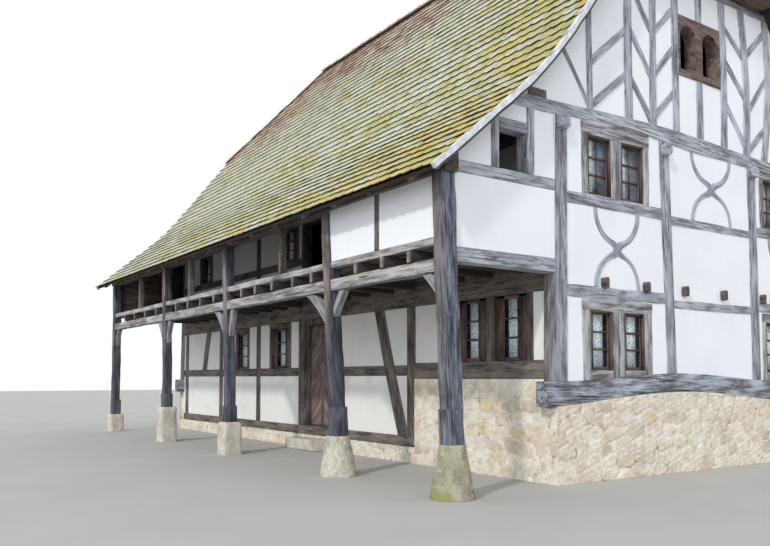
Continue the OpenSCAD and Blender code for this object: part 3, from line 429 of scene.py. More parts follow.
def attribute(tree, name, out="Fac"):
    """Value that a piece keeps on its points."""
    return Signal(add(tree, "ShaderNodeAttribute", attribute_name=name).outputs[out])


def position(tree):
    """Place on the piece in metres."""
    return Signal(add(tree, "ShaderNodeTexCoord").outputs["Object"])


def effect(name, inputs):
    """New node group; an input's default tells its kind: a number, a colour's code, or None for a vector."""
    tree = bpy.data.node_groups.new(name, "ShaderNodeTree")
    for key, value in inputs.items():
        kind = "Vector" if value is None else "Color" if isinstance(value, str) else "Float"
        socket = tree.interface.new_socket(key, in_out="INPUT", socket_type="NodeSocket" + kind)
        if value is not None:
            socket.default_value = rgb(value) if isinstance(value, str) else value
    start = tree.nodes.new("NodeGroupInput")
    return tree, {key: Signal(start.outputs[key]) for key in inputs}


def deliver(tree, outputs):
    """Gives a node group its outputs: a colour, and values that change over the surface."""
    for key in outputs:
        kind = "NodeSocketColor" if key == "Color" else "NodeSocketFloat"
        tree.interface.new_socket(key, in_out="OUTPUT", socket_type=kind)
    end = tree.nodes.new("NodeGroupOutput")
    for key, signal in outputs.items():
        tree.links.new(signal.socket, end.inputs[key])
    return tree


def group(tree, name, make, inputs):
    """Places a shared effect in a material, building it once; returns its outputs by name."""
    new = add(tree, "ShaderNodeGroup", inputs, node_tree=bpy.data.node_groups.get(name) or make(name))
    return {socket.name: Signal(socket) for socket in new.outputs}


# Effects that more than one material uses

def weathered_grain(name):
    """Group: fibres, blotches and long cracks along the grain of old wood."""
    tree, i = effect(name, {"Grain": None, "Tone": 0.5, "Light": "#9a9a98", "Dark": "#5a544c",
                            "Crack": "#2a231d", "Cracks": 0.6, "Blotches": 0.5})
    grain = i["Grain"]
    fibre = noise(grain, 1.0, 4, 0.7, (3, 70, 70))
    streak = noise(grain, 1.0, 4, 0.65, (2.4, 22, 22), 0.3)
    blotch = noise(grain, 1.0, 4, 0.65, (1.6, 6, 6))
    line = (noise(grain, 1.0, 2, 0.5, (0.9, 26, 26), 0.4) - 0.5).maths("ABSOLUTE")
    gate = ramp(noise(grain, 1.0, 2, 0.5, (1.6, 7, 7)), [(0.42, 0.0), (0.58, 1.0)])
    crack = ramp(line, [(0.0, 1.0), (0.012, 0.75), (0.035, 0.0)]) * gate * i["Cracks"]
    share = (fibre - 0.5) * 0.8 + (streak - 0.5) * 1.1 + (blotch - 0.5) * (i["Blotches"] * 2.2)
    share = ramp(share + (i["Tone"] - 0.5) * 0.1 + 0.5, [(0.3, 0.0), (0.66, 1.0)])
    colour = blend(crack, blend(share, i["Dark"], i["Light"]), i["Crack"])
    height = fibre * 0.5 + streak - crack
    return deliver(tree, {"Color": colour, "Roughness": fibre * 0.25 + 0.68, "Height": height})


def limewash(name):
    """Group: brushed limewash with faint cloudy stains and a hand-floated surface."""
    tree, i = effect(name, {"Vector": None, "White": "#e9ecef", "Stain": "#c9c8c2", "Staining": 0.4})
    v = i["Vector"]
    cloud, fine = noise(v, 1.3, 5, 0.6), noise(v, 26, 4, 0.6)
    run = ramp(noise(v, 1.0, 4, 0.6, (9, 9, 0.8)), [(0.55, 0.0), (0.8, 1.0)])
    stain = ramp(cloud, [(0.45, 0.0), (0.8, 1.0)]) * i["Staining"] + run * 0.16
    colour = blend(fine * 0.06, blend(stain, i["White"], i["Stain"]), i["Stain"])
    return deliver(tree, {"Color": colour, "Roughness": fine * 0.1 + 0.83, "Height": fine * 0.35 + cloud})


def moss(name):
    """Group: patches of moss and lichen laid over a colour, with their own height."""
    tree, i = effect(name, {"Vector": None, "Color": "#9a8f80", "Moss": "#5f6b35", "Lichen": "#c9c9b4",
                            "Moss Share": 0.4, "Lichen Share": 0.4, "Scale": 3.0})
    big = noise(i["Vector"], i["Scale"], 5.0, 0.65)
    spot = noise(i["Vector"], i["Scale"] * 5.0, 3.0, 0.6)
    green = ramp(big + (i["Moss Share"] - 0.75) + spot * 0.3, [(0.3, 0.0), (0.42, 1.0)])
    pale = ramp(spot + (i["Lichen Share"] - 0.6), [(0.3, 0.0), (0.44, 1.0)])
    colour = blend(green, blend(pale, i["Color"], i["Lichen"]), i["Moss"])
    return deliver(tree, {"Color": colour, "Height": green + spot})


# Materials

def material(name):
    """New material with an empty node tree."""
    old = bpy.data.materials.get(name)
    if old is not None:
        bpy.data.materials.remove(old)
    new = bpy.data.materials.new(name)
    new.use_nodes = True
    new.node_tree.nodes.clear()
    return new, new.node_tree


def surface(new, colour, rough, height=None, depth=0.0, metal=0.0):
    """Gives a material its shader: colour, roughness and bumps of some depth in metres."""
    inputs = {"Base Color": colour, "Roughness": rough, "Metallic": metal}
    if height is not None:
        inputs["Normal"] = through(height, "ShaderNodeBump", {"Height": height, "Distance": depth})
    shader = Signal(add(new.node_tree, "ShaderNodeBsdfPrincipled", inputs).outputs[0])
    add(new.node_tree, "ShaderNodeOutputMaterial", {0: shader})
    return new


def wood(name, light, dark, crack="#241d18", cracks=0.7, blotches=0.45, depth=0.004, east=None, also=None):
    """Old timber that reads its own grain and tone; east gives other colours to the side that faces the
    carved gable, and also, an axis with two places, spreads them over the timber from one to the other."""
    new, tree = material(name)
    if east:
        side = attribute(tree, "east")
        if also:
            axis, start, end = also
            side = side.maths("MAXIMUM", mapped(part(position(tree), axis), start, end))
        light, dark = blend(side, light, east[0]), blend(side, dark, east[1])
    g = group(tree, "Weathered Grain", weathered_grain, {
        "Grain": attribute(tree, "grain", "Vector"), "Tone": attribute(tree, "tone"),
        "Light": light, "Dark": dark, "Crack": crack, "Cracks": cracks, "Blotches": blotches})
    return surface(new, g["Color"], g["Roughness"], g["Height"], depth)


def plaster(name, white, stain, staining):
    """Limewashed plaster."""
    new, tree = material(name)
    g = group(tree, "Limewash", limewash, {"Vector": position(tree), "White": white, "Stain": stain,
                                           "Staining": staining})
    return surface(new, g["Color"], g["Roughness"], g["Height"], 0.004)


def tile_material(name):
    """Clay tiles, pink near the ridge and the far end, under pale lichen, yellow lichen and green moss, with
    near-black painted shade where the gap attribute is high.
    """
    new, tree = material(name)
    p = position(tree)
    x, z = part(p, "X"), part(p, "Z")
    # The gap attribute is the share of painted shade on the tiles and the deck.
    tone, gap = attribute(tree, "tone"), attribute(tree, "gap")
    own = (tone - 0.5) * 0.3
    near = mapped(x, -6.5, 3.0)
    old = mapped(z, 8.9, 6.2) * 0.36 + near * 0.22
    edge = mapped(x, 2.5, 6.6) * 0.15 + mapped(z, 4.7, 3.6) * (near * 0.1)
    colour = ramp(tone, [(0.0, "#a07a70"), (0.35, "#b98f82"), (0.7, "#caa79a"), (1.0, "#a89a90")])
    lichen = ramp(noise(p, 6, 4, 0.7), [(0.3, "#bcc1a6"), (0.5, "#d6d8c4"), (0.7, "#e8e7da")])
    weed = ramp(noise(p, 7, 3, 0.6), [(0.35, "#a5a75e"), (0.6, "#cfc786")])
    gold = ramp(noise(p, 3.1, 3, 0.6), [(0.4, "#cdb44c"), (0.6, "#dccb8c")])
    for share, stops, cover in (
            (noise(p, 1.1, 5, 0.65) + own + old, [(0.55, 0.0), (0.8, 0.95)], lichen),
            (noise(p, 0.8, 5, 0.7) + own + edge + old * 0.3, [(0.62, 0.0), (0.82, 0.85)], weed),
            (noise(p, 1.3, 5, 0.7) + own + edge * 1.5, [(0.72, 0.0), (0.9, 0.9)], gold)):
        colour = blend(ramp(share, stops), colour, cover)
    spots = ramp(noise(p, 17, 3, 0.6), [(0.58, 0.0), (0.68, 0.7)]) * (old * 1.2 + 0.2)
    # Painted shade: the gap attribute blends in near-black under the tails, on the heads and on the deck.
    colour = blend(gap, blend(spots, colour, "#6d7648"), "#302c22")
    return surface(new, colour, 0.9, noise(p, 30, 5, 0.7), 0.006)


def stone_material(name, light, dark, moss_share, lichen_share, damp):
    """Tooled stone with lichen, and moss that gathers towards the ground."""
    new, tree = material(name)
    p = position(tree)
    colour = ramp(noise(p, 5, 6, 0.7), [(0.3, dark), (0.65, light)])
    g = group(tree, "Moss And Lichen", moss, {
        "Vector": p, "Color": colour, "Moss": "#8f8d55", "Lichen": "#d5d1c0", "Lichen Share": lichen_share,
        "Moss Share": mapped(part(p, "Z"), 0.5, 0.0, damp) + moss_share, "Scale": 4.0})
    return surface(new, g["Color"], 0.9, g["Height"] + noise(p, 40, 4) * 0.6, 0.006)


def rubble_material(name):
    """Rubble almost flush in pale mortar: cream stones, a few ochre or pink, with pits and open joints."""
    new, tree = material(name)
    p = position(tree)
    tone, bed = attribute(tree, "tone"), attribute(tree, "bed")
    stone = ramp(tone, [(0.0, "#c6bba7"), (0.2, "#e2dac9"), (0.5, "#f2ecdf"), (0.72, "#ded4c2"),
                        (0.84, "#e6cfa9"), (0.92, "#e2cdbc"), (1.0, "#c3b9a6")])
    stone = blend(ramp(noise(p, 6, 6, 0.75), [(0.36, 0.7), (0.55, 0.0)]), stone, "#b5a78e")
    mortar = ramp(noise(p, 7, 6, 0.75), [(0.33, "#aba28f"), (0.46, "#dcd4c4"), (0.66, "#f4f0e6")])
    flush = ramp(noise(p, 2.6, 4, 0.6), [(0.42, 1.0), (0.66, 0.15)])
    open_joint = ramp(bed, [(0.0, 1.0), (0.25, 0.0)]) * ramp(noise(p, 2.2, 4, 0.6), [(0.5, 0.0), (0.6, 0.75)])
    pits = ramp(noise(p, 22, 4, 0.7, (1, 1, 2.6)), [(0.28, 1.0), (0.35, 0.0)])
    colour = blend(open_joint, blend(bed * flush, mortar, stone), "#77695a")
    colour = blend(pits * 0.8, colour, "#5a4b39")
    colour = blend(ramp(noise(p, 1.7, 4, 0.6), [(0.6, 0.0), (0.75, 0.4)]), colour, "#dfbf93")
    return surface(new, colour, 0.93, noise(p, 16, 6, 0.7) - pits, 0.008)


def glass(name):
    """Old panes with a curtain behind them: lace in the middle, or to one side where the kind is high. Their
    dark colour is painted shade of the room behind, and their bright colour where the kind is high is a
    painted reflection of the sky.
    """
    new, tree = material(name)
    pane, p = attribute(tree, "pane", "Vector"), position(tree)
    across, kind = part(pane, "X"), part(pane, "Z")
    lace = ramp((across - 0.5).maths("ABSOLUTE"), [(0.24, 1.0), (0.3, 0.0)])
    mask = blend(kind, lace, ramp(across, [(0.26, 1.0), (0.36, 0.0)]))
    knots = ramp(noise(p, 42, 4, 0.75), [(0.38, "#7d8e96"), (0.54, "#dfe8ee")])
    # Painted shade: the dark room seen through the panes.
    dark = ramp(noise(p, 5, 3), [(0.35, "#1c1f22"), (0.7, "#48585e")])
    # Painted reflection: the sky on the panes of the upper windows.
    bright = ramp(noise(p, 4, 3), [(0.35, "#53626e"), (0.7, "#a3b2c0")])
    return surface(new, blend(mask, blend(kind, dark, bright), knots), 0.12, noise(p, 7, 1), 0.002)


def two_tone(name, colour, other, scale, rough, depth, metal=0.0):
    """Two-tone material with a fine surface."""
    new, tree = material(name)
    n = noise(position(tree), scale, 5, 0.65)
    return surface(new, ramp(n, [(0.35, colour), (0.7, other)]), rough, n, depth, metal)


# Roof

def profile(s):
    """Point and slope of the roof's section at distance s down from the ridge: straight at the main pitch,
    then an arc that flattens to the pitch of the eaves, then straight again."""
    s = np.asarray(s, float)
    angle = np.clip(PITCH - (s - STRAIGHT) / KICK_R, EAVE_PITCH, PITCH)
    over = np.maximum(s - STRAIGHT - ARC, 0)
    y = np.where(s < STRAIGHT, s * math.cos(PITCH), ARC_Y - KICK_R * np.sin(angle))
    z = np.where(s < STRAIGHT, RIDGE - s * math.sin(PITCH), ARC_Z - KICK_R * np.cos(angle))
    return y + over * math.cos(EAVE_PITCH), z - over * math.sin(EAVE_PITCH), angle


def below(s, depth):
    """The section's point at distance s, sunk square to the roof by some depth."""
    y, z, angle = profile(s)
    return y - depth * np.sin(angle), z - depth * np.cos(angle)


def hip_x(z, end):
    """Where a half hip's surface stands at height z, at the near or far end."""
    foot = HIP_HIGH[0] if end > 0 else HIP_LOW[0]
    return foot - end * np.maximum(z - HIP_FOOT, 0) / math.tan(HIP_PITCH)


def tiles(length, breadth, settings, seed):
    """Plain tiles with rounded tails as arrays of (s, u, h): distance down the slope, across it and height
    above it. Each tile's head is tucked under the course above and its tail is a flat arc."""
    rng = np.random.default_rng(seed)
    width, thick = settings.tile_width, settings.tile_thickness
    rows, columns = int(round(length / settings.course)), int(breadth / width) + 2
    gauge = (length - 0.002) / rows
    r, c = (a.ravel() for a in np.meshgrid(np.arange(rows), np.arange(columns), indexing="ij"))
    n = len(r)
    across = np.linspace(-0.5, 0.5, ACROSS)
    half = (width - 0.003) * across
    foot = (r + 1) * gauge + rng.normal(0, 0.004, n)
    middle = (c + 0.5 * (r % 2)) * width + rng.normal(0, 0.0025, n)
    lift, lean = rng.uniform(0, 0.004, (n, 1, 1)), rng.normal(0, 0.02, (n, 1, 1))
    tail = foot[:, None] - 0.05 * (2 * across) ** 2
    head = np.repeat((foot - gauge - LAP)[:, None], ACROSS, 1)
    s = np.clip(np.stack([head, tail, tail + 0.001, tail, head], 1), 0.02, length - 0.004)
    u = np.broadcast_to((middle[:, None] + half)[:, None], s.shape)
    faces = np.array([-SUNK, 0.0, -0.003, -thick, -SUNK - thick])
    h = faces[None, :, None] - lift + lean * half - np.abs(lean) * width / 2
    return s, u, h, rng.uniform(0, 1, n)


def tile_arrays(points, axis, tone, low, high, turned):
    """The tiles as one mesh's arrays, clipped along an axis to a low and a high limit; a tile that keeps a
    quarter of its width or less is left out. Quads and two triangles a side close each tile."""
    across = points[..., axis]
    full = across[..., -1] - across[..., 0]
    across = np.clip(across, low, high)
    points[..., axis] = across
    keep = (across[..., -1] - across[..., 0] > 0.25 * full).all(1)
    start = np.arange(keep.sum())[:, None, None] * TILE_POINTS
    quads = np.concatenate([grid_faces(ROWS, ACROSS), [[0, 7, 21, 28], [34, 27, 13, 6]]])
    four = (start + quads).reshape(-1, 4)
    three = (start + np.array([[7, 14, 21], [27, 20, 13]])).reshape(-1, 3)
    if turned:
        four, three = four[:, ::-1], three[:, ::-1]
    # Painted shade, as a share of the near-black gap colour: full at the head's underside, most in the middle
    # of the tail's edge and underside, and over the top from 0.45 at the head, under the course above, down
    # to 0 at the tail.
    under = np.array([0.15, 0.8, 1, 1, 1, 0.8, 0.15])
    gap = np.concatenate([0.45 + 0 * under, 0 * under, under, under, 1 + 0 * under])
    return points[keep].reshape(-1, 3), [four, three], {"tone": np.repeat(tone[keep], TILE_POINTS),
                                                        "gap": np.tile(gap, keep.sum())}


def deck(rings, flip):
    """Closed deck under the tiles, all near-black painted shade, as their gaps are."""
    points, faces = strip(np.stack(rings, 1), flip)
    return points, faces, {"tone": np.zeros(len(points)), "gap": np.ones(len(points))}


def roof_face(side, settings):
    """Tiles of one long face, clipped at the verges and the hips, on a closed deck."""
    low, high = ROOF_LOW[0] + 0.004, ROOF_HIGH[0] - 0.004
    s, u, h, tone = tiles(LENGTH, high - low, settings, 5 if side > 0 else 6)
    y, z, angle = profile(s)
    left, right = np.maximum(low, hip_x(z, -1) + 0.01), np.minimum(high, hip_x(z, 1) - 0.01)
    points = np.stack([low + u, side * (y + h * np.sin(angle)), z + h * np.cos(angle)], -1)
    laid = tile_arrays(points, 0, tone, left, right, side < 0)
    steps = np.linspace(0, LENGTH - 0.03, 60)
    z = profile(steps)[1]
    left, right = np.maximum(low, hip_x(z, -1) + 0.02), np.minimum(high, hip_x(z, 1) - 0.02)
    rings = []
    for x, depth in ((left, DECK_TOP), (right, DECK_TOP), (right, DECK_UNDER), (left, DECK_UNDER)):
        y, z = below(steps, depth)
        rings.append(np.stack([x, side * y, z], -1))
    return joined([laid, deck(rings, side < 0)])


def hip_face(end, settings):
    """Tiles of a half hip: its rows run across the gable and narrow towards the ridge."""
    length = HIP_RISE / math.sin(HIP_PITCH)
    s, u, h, tone = tiles(length, 2 * HIP_HALF, settings, 8 + end)

    def lie(s, y, h):
        """Point at distance s down the hip and y across it, h above it."""
        z = RIDGE - s * math.sin(HIP_PITCH)
        x = hip_x(z, end) + end * h * math.sin(HIP_PITCH)
        return np.stack([x, y, z + h * math.cos(HIP_PITCH)], -1)

    limit = s * math.sin(HIP_PITCH) / math.tan(PITCH) - 0.01
    points = lie(s, u - HIP_HALF, h)
    points, faces, values = tile_arrays(points, 1, tone, -limit, limit, True)
    points = points * [1, end, 1]
    steps = np.linspace(0.03, length - 0.03, 12)
    edge = steps * math.sin(HIP_PITCH) / math.tan(PITCH) - 0.02
    rings = [lie(steps, y, -depth) for y, depth in (
        (-edge, DECK_TOP), (edge, DECK_TOP), (edge, DECK_UNDER), (-edge, DECK_UNDER))]
    return joined([(points, faces, values), deck(rings, end > 0)])


def capping(a, b, radius, step, seed, drop):
    """Half-round tiles from a to b: each is part of a tapered tube that laps over the one below it."""
    rng = np.random.default_rng(seed)
    a, b = np.array(a, float), np.array(b, float)
    length = np.linalg.norm(b - a)
    along = (b - a) / length
    lift = np.array([0, 0, 1]) - along[2] * along
    lift /= np.linalg.norm(lift)
    side = np.cross(along, lift)
    count, bend = int(length / step), 11
    gauge = length / count
    t = np.array([0.0, 0.08, gauge, gauge + 0.03])
    r = radius * np.array([1.0, 0.97, 0.9, 0.88])[None, :, None]
    angle = np.linspace(-0.15, math.pi + 0.15, bend) + rng.normal(0, 0.02, (count, 1, 1))
    at = (np.arange(count)[:, None] * gauge + t)[..., None, None]
    out, high = r * np.cos(angle), r * np.sin(angle) * 0.62 - drop
    points = (a + at * along + out[..., None] * side + high[..., None] * lift).reshape(-1, 3)
    start = np.arange(count)[:, None, None] * len(t) * bend
    faces = (start + grid_faces(len(t), bend, flip=True)).reshape(-1, 4)
    tone = np.repeat(rng.uniform(0, 1, count), len(t) * bend)
    return points, [faces], {"tone": tone, "gap": np.zeros(len(tone))}


def verge(end, side, top, bottom, out, back):
    """Band along a sloping edge of the roof: a closed strip that follows the section between two depths."""
    edge = ROOF_HIGH[0] if end > 0 else ROOF_LOW[0]
    s = np.linspace(0, LENGTH - 0.002, 90)
    s = s[profile(s)[1] < HIP_FOOT + 0.12]
    low = bottom + 0.004 * np.sin(9 * s + 2 * np.sin(4 * s))
    rings = []
    for x, depth in ((out, top), (out, low), (back, low), (back, top)):
        y, z = below(s, depth)
        rings.append(np.stack([np.full(len(s), edge - end * x), side * y, z], -1))
    points, faces = strip(np.stack(rings, 1), end * side > 0)
    grain = np.stack([np.repeat(s, 4), np.tile(np.arange(4) * 0.03, len(s)), np.zeros(len(points))], -1)
    return points, faces, {"grain": grain, "tone": np.full(len(points), 0.5)}


def eave_board(side):
    """Board under the tails of the tiles, along the whole eaves, with a slight sag."""
    x = np.linspace(ROOF_LOW[0] + 0.03, ROOF_HIGH[0] - 0.03, 40)
    sag = 0.004 * np.sin(x * 2.1) + 0.003 * np.sin(x * 5.3)
    rings = []
    for back, depth in ((0.05, 0.05), (0.05, 0.092), (0.075, 0.092), (0.075, 0.05)):
        y, z = below(LENGTH - back, depth)
        rings.append(np.stack([x, np.full(len(x), side * y), z + sag], -1))
    points, faces = strip(np.stack(rings, 1), side < 0)
    return points, faces, {"grain": points, "tone": np.full(len(points), 0.5)}


# Settings that a user may change

def size(name, description, default):
    """Setting that is a length in metres."""
    return bpy.props.FloatProperty(name=name, description=description, default=default, unit="LENGTH")


def tint(name, description, default):
    """Setting that is a colour, with its hex code as the default."""
    return bpy.props.FloatVectorProperty(
        name=name, description=description, default=rgb(default), size=4, subtype="COLOR", min=0, max=1)


def strength(name, description, default):
    """Setting that is a light's strength."""
    return bpy.props.FloatProperty(name=name, description=description, default=default, min=0)


class HouseRoof(bpy.types.PropertyGroup):
    tile_width: size("Tile width", "Width of a roof tile", 0.195)
    course: size("Course", "Height of a course of tiles along the slope", 0.21)
    tile_thickness: size("Tile thickness", "Thickness of a tile at its tail", 0.015)


class HouseTimber(bpy.types.PropertyGroup):
    rounding: size("Rounding", "Rounding of a timber's edges", 0.014)
    wane: size("Wane", "How far a timber's faces draw in along it", 0.007)


class HouseColours(bpy.types.PropertyGroup):
    limewash: tint("Limewash", "Limewash of the gables and the gallery's panels", "#f0f2f7")
    sheltered_limewash: tint("Sheltered limewash", "Limewash of the walls under the roof", "#ecebe8")
    sash: tint("Sash", "Light tone of the window sashes", "#6d5c55")
    door: tint("Door", "Light tone of the door's boards", "#8f7d78")


class HouseLight(bpy.types.PropertyGroup):
    sun: strength("Sun", "Strength of the key light", 1.45)
    fill: strength("Fill", "Strength of the low light on the walls", 0.8)
    sky: strength("Sky", "Strength of the surrounding light", 0.98)


class HOUSE_OT_roof(bpy.types.Operator):
    """Lays the tiles of both long faces and the half hips"""
    bl_idname = "house.roof"
    bl_label = "Roof"

    def execute(self, context):
        settings = context.scene.house_roof
        clay = tile_material("Lichened clay tiles")
        for side, name in ((-1, "roof_front"), (1, "roof_rear")):
            place(name + "_tiles", roof_face(side, settings), clay, [name], smooth=0)
        hips = joined([hip_face(end, settings) for end in (1, -1)])
        place("half_hip_tiles", hips, clay, ["half_hips"], smooth=0)
        cap = tile_material("Ridge tiles")
        near, far = HIP_HIGH[0] - HIP_RUN, HIP_LOW[0] + HIP_RUN
        ridge = capping((near, 0, RIDGE - 0.025), (far, 0, RIDGE - 0.025),
                        radius=0.12, step=0.38, seed=21, drop=0.01)
        place("ridge_cap_tiles", ridge, cap, ["ridge_tiles"])
        caps = []
        for end, foot, top in ((1, HIP_HIGH[0], near), (-1, HIP_LOW[0], far)):
            for side in (-1, 1):
                start = (foot - end * 0.055, side * (HIP_HALF - 0.03), HIP_FOOT + 0.02)
                caps.append(capping(start, (top, 0, RIDGE - 0.03),
                                    radius=0.085, step=0.33, seed=31 + len(caps), drop=0.015))
        place("hip_cap_tiles", joined(caps), cap)
        edges = [(end, side) for end in (1, -1) for side in (1, -1)]
        lime = two_tone("Verge mortar", "#c3c8cd", "#eef1f4", scale=9, rough=0.9, depth=0.006)
        bands = joined([verge(*edge, top=0.012, bottom=0.074, out=0.001, back=0.05) for edge in edges])
        place("verge_mortar_bands", bands, lime, ["verge_boards"])
        # Painted shadow: the dark board under each verge band stands both for its own dark wood and for the
        # shadow line under the band.
        boards = joined([verge(*edge, top=0.076, bottom=0.1, out=0.006, back=0.03) for edge in edges])
        place("verge_under_boards", boards, wood("Verge board", "#5d5450", "#352e2b"))
        return {"FINISHED"}


def floor_boards(name, material, count, gap, seed):
    """Boards side by side over a floor's box, with a gap between them."""
    low, high = corners(name)
    edges = np.linspace(low[1], high[1], count + 1)
    lows, highs = np.tile(low, (count, 1)), np.tile(high, (count, 1))
    lows[:, 1], highs[:, 1] = edges[:-1] + gap, edges[1:] - gap
    place(name + "_boards", boxes(lows, highs, seed), material, [name], smooth=0)


def end_boards(material):
    """Level boards that close the gallery's far end up to the underside of the roof, each let in a little."""
    low, high = corners("end_boards")
    edges = np.arange(low[2], 4.4, (high[2] - low[2]) / 5)
    count = len(edges) - 1
    y, z = below(np.linspace(0, LENGTH, 400), 0.15)
    out = np.maximum(low[1], -np.interp(-edges[1:], -z, y))
    lows = np.stack([np.full(count, low[0]), out, edges[:-1] + 0.0005], -1)
    face = np.linspace(high[0] - 0.006, high[0], count)
    highs = np.stack([face, np.full(count, high[1]), edges[1:] - 0.0005], -1)
    place("gallery_end_boards", boxes(lows, highs, 52), material, ["end_boards"], smooth=0)


def narrowed(points, axis, share):
    """Draws points in towards their middle along an axis."""
    middle = (points[:, axis].min() + points[:, axis].max()) / 2
    points[:, axis] = middle + (points[:, axis] - middle) * share
    return points


def gallery_joist(points):
    """Ends a joist in front of the gallery's beam and narrows it."""
    points[:, 1] = np.maximum(points[:, 1], -GALLERY - 0.09)
    return narrowed(points, 0, 0.85)


def floor_joist(points):
    """Narrows a joist and lowers its underside."""
    points[:, 2] -= 0.03 * (points[:, 2] < points[:, 2].mean())
    return narrowed(points, 1, 0.72)


def at_corner(points):
    """Tells the corner post under the carved gable from the other posts of the gallery."""
    return points[:, 0].min() > GABLE - 0.5


def off_corner(points):
    """Tells the gallery's other posts from the corner post."""
    return not at_corner(points)


class HOUSE_OT_timbers(bpy.types.Operator):
    """Dresses the timbers of the gables, walls, gallery and roof"""
    bl_idname = "house.timbers"
    bl_label = "Timbers"

    def execute(self, context):
        rounding, wane = context.scene.house_timber.rounding, context.scene.house_timber.wane
        silver = wood("Silvered oak", "#bcc1ca", "#71727b", "#332e2d", 0.85, 0.5, 0.006)
        posts = wood("Gable post oak", "#8f8d90", "#4f4c4d", "#2a2524", 0.85, 0.5, 0.006,
                     ("#b3b7c0", "#6b6a72"))
        beams = wood("Gallery beam oak", "#b9b6b5", "#716c6b", "#322c2a", 0.85, 0.5, 0.005,
                     ("#8f8f97", "#55545c"))
        props = wood("Knee brace oak", "#aaa9ad", "#6c6a6e", "#322c2a", 0.6, 0.4, 0.004,
                     ("#5f6068", "#33333a"))
        # Painted shade: the joists' sides that face the carved gable, and all but the front few centimetres
        # of each joist, take near-black browns for the dark gaps between the joist ends.
        joists = wood("Gallery joist oak", "#b5aca0", "#746b62", "#322c2a", 0.7, 0.4, 0.004,
                      ("#4a433d", "#2c2622"), ("Y", -GALLERY - 0.08, -GALLERY - 0.02))
        corner = wood("Corner post oak", "#7a777b", "#413e41", "#231e1c", 0.8, 0.45, 0.007,
                      ("#7c8290", "#2c2f39"), ("Z", 2.2, 0.2))
        gallery = wood("Gallery post oak", "#8b827d", "#463f3c", "#231e1c", 0.85, 0.5, 0.006,
                       ("#5c606b", "#2b2d36"), ("Z", 2.5, 1.7))
        dry = wood("Sheltered oak", "#7d756f", "#3f3935", "#1f1a17", 0.75, 0.45)
        arched = wood("Brown oak", "#85726a", "#3f322d", "#1d1613", 0.7, 0.5)
        frames = wood("Window frame oak", "#b3b5bb", "#5f5a59", "#2c2624", 0.85, 0.55, 0.005)
        dark = wood("Roof timber", "#6f6460", "#3a312e", "#191410", 0.5)
        boards = wood("Old boards", "#75675b", "#41362d", "#17120e", 0.6)
        brown = wood("Brown boards", "#6f574e", "#3b2c27", "#1f1713", 0.5)
        logs = wood("Sill log", "#a9b0bb", "#565258", "#2a2322", 0.95, 0.75, 0.012, ("#b2bac6", "#5f5d64"))
        for k, (name, nodes, look, slot, share) in enumerate((
                ("gable_post_timbers", ["gable_posts"], posts, "weathered_oak", 2),
                ("gable_rail_timbers", ["gable_rails"], silver, "weathered_oak", 1),
                ("window_frame_timbers", ["window_frames"], frames, "weathered_oak", 1),
                ("gable_top_timbers", ["gable_studs", "gable_braces"], silver, "weathered_oak", 1),
                ("tie_beam_timbers", ["tie_beams"], silver, "weathered_oak", 1.5),
                ("arched_window_heads", ["arched_windows"], arched, "weathered_oak", 1),
                ("sill_log_timbers", ["sill_logs"], logs, "weathered_oak", 3),
                ("gallery_beam_timbers", ["gallery_beams", "gallery_rails"], beams, "weathered_oak", 1.5),
                ("knee_brace_timbers", ["knee_braces"], props, "sheltered_oak", 1),
                ("gallery_stud_timbers", ["gallery_studs"], dry, "sheltered_oak", 1),
                ("porch_end_timbers", ["porch_end_frame"], silver, "weathered_oak", 1),
                ("wall_timbers", ["wall_posts", "wall_rails", "wall_beams"], dry, "sheltered_oak", 1),
                ("door_frame_timbers", ["door_frame"], dry, "sheltered_oak", 0.5),
                ("roof_plate_timbers", ["roof_plates"], dark, "roof_timber", 1),
                ("rafter_timbers", ["rafters"], dark, "roof_timber", 0.5),
                ("hip_soffit_boards", ["hip_soffits"], brown, "roof_timber", 0.5))):
            step = 0.07 if nodes == ["gable_posts"] else 0.14
            timbers(name, nodes, look, rounding, wane * share, 100 + k, step)
        for name, look, only in (("corner_post_timbers", corner, at_corner),
                                 ("gallery_post_timbers", gallery, off_corner)):
            timbers(name, ["gallery_posts"], look, rounding, wane * 2, 140, 0.07, only)
        timbers("gallery_joist_timbers", ["gallery_joists"], joists, rounding, wane, 141,
                shape=gallery_joist)
        timbers("floor_timbers", ["floor_joists"], dark, rounding * 2, wane, 142,
                shape=floor_joist)
        eaves = joined([eave_board(side) for side in (-1, 1)])
        place("eave_boards", eaves, brown, ["fascias"], smooth=0)
        timbers("sprocket_timbers", ["sprockets"], dark, round_off=0.006, wane=0.0, seed=130)
        for name in ("ground_floor", "upper_floor", "attic_floor"):
            low, high = corners(name)
            floor_boards(name, boards, count=int((high[1] - low[1]) / 0.21), gap=0.001, seed=50)
        floor_boards("gallery_floor", boards, count=8, gap=0.003, seed=51)
        end_boards(boards)
        return {"FINISHED"}


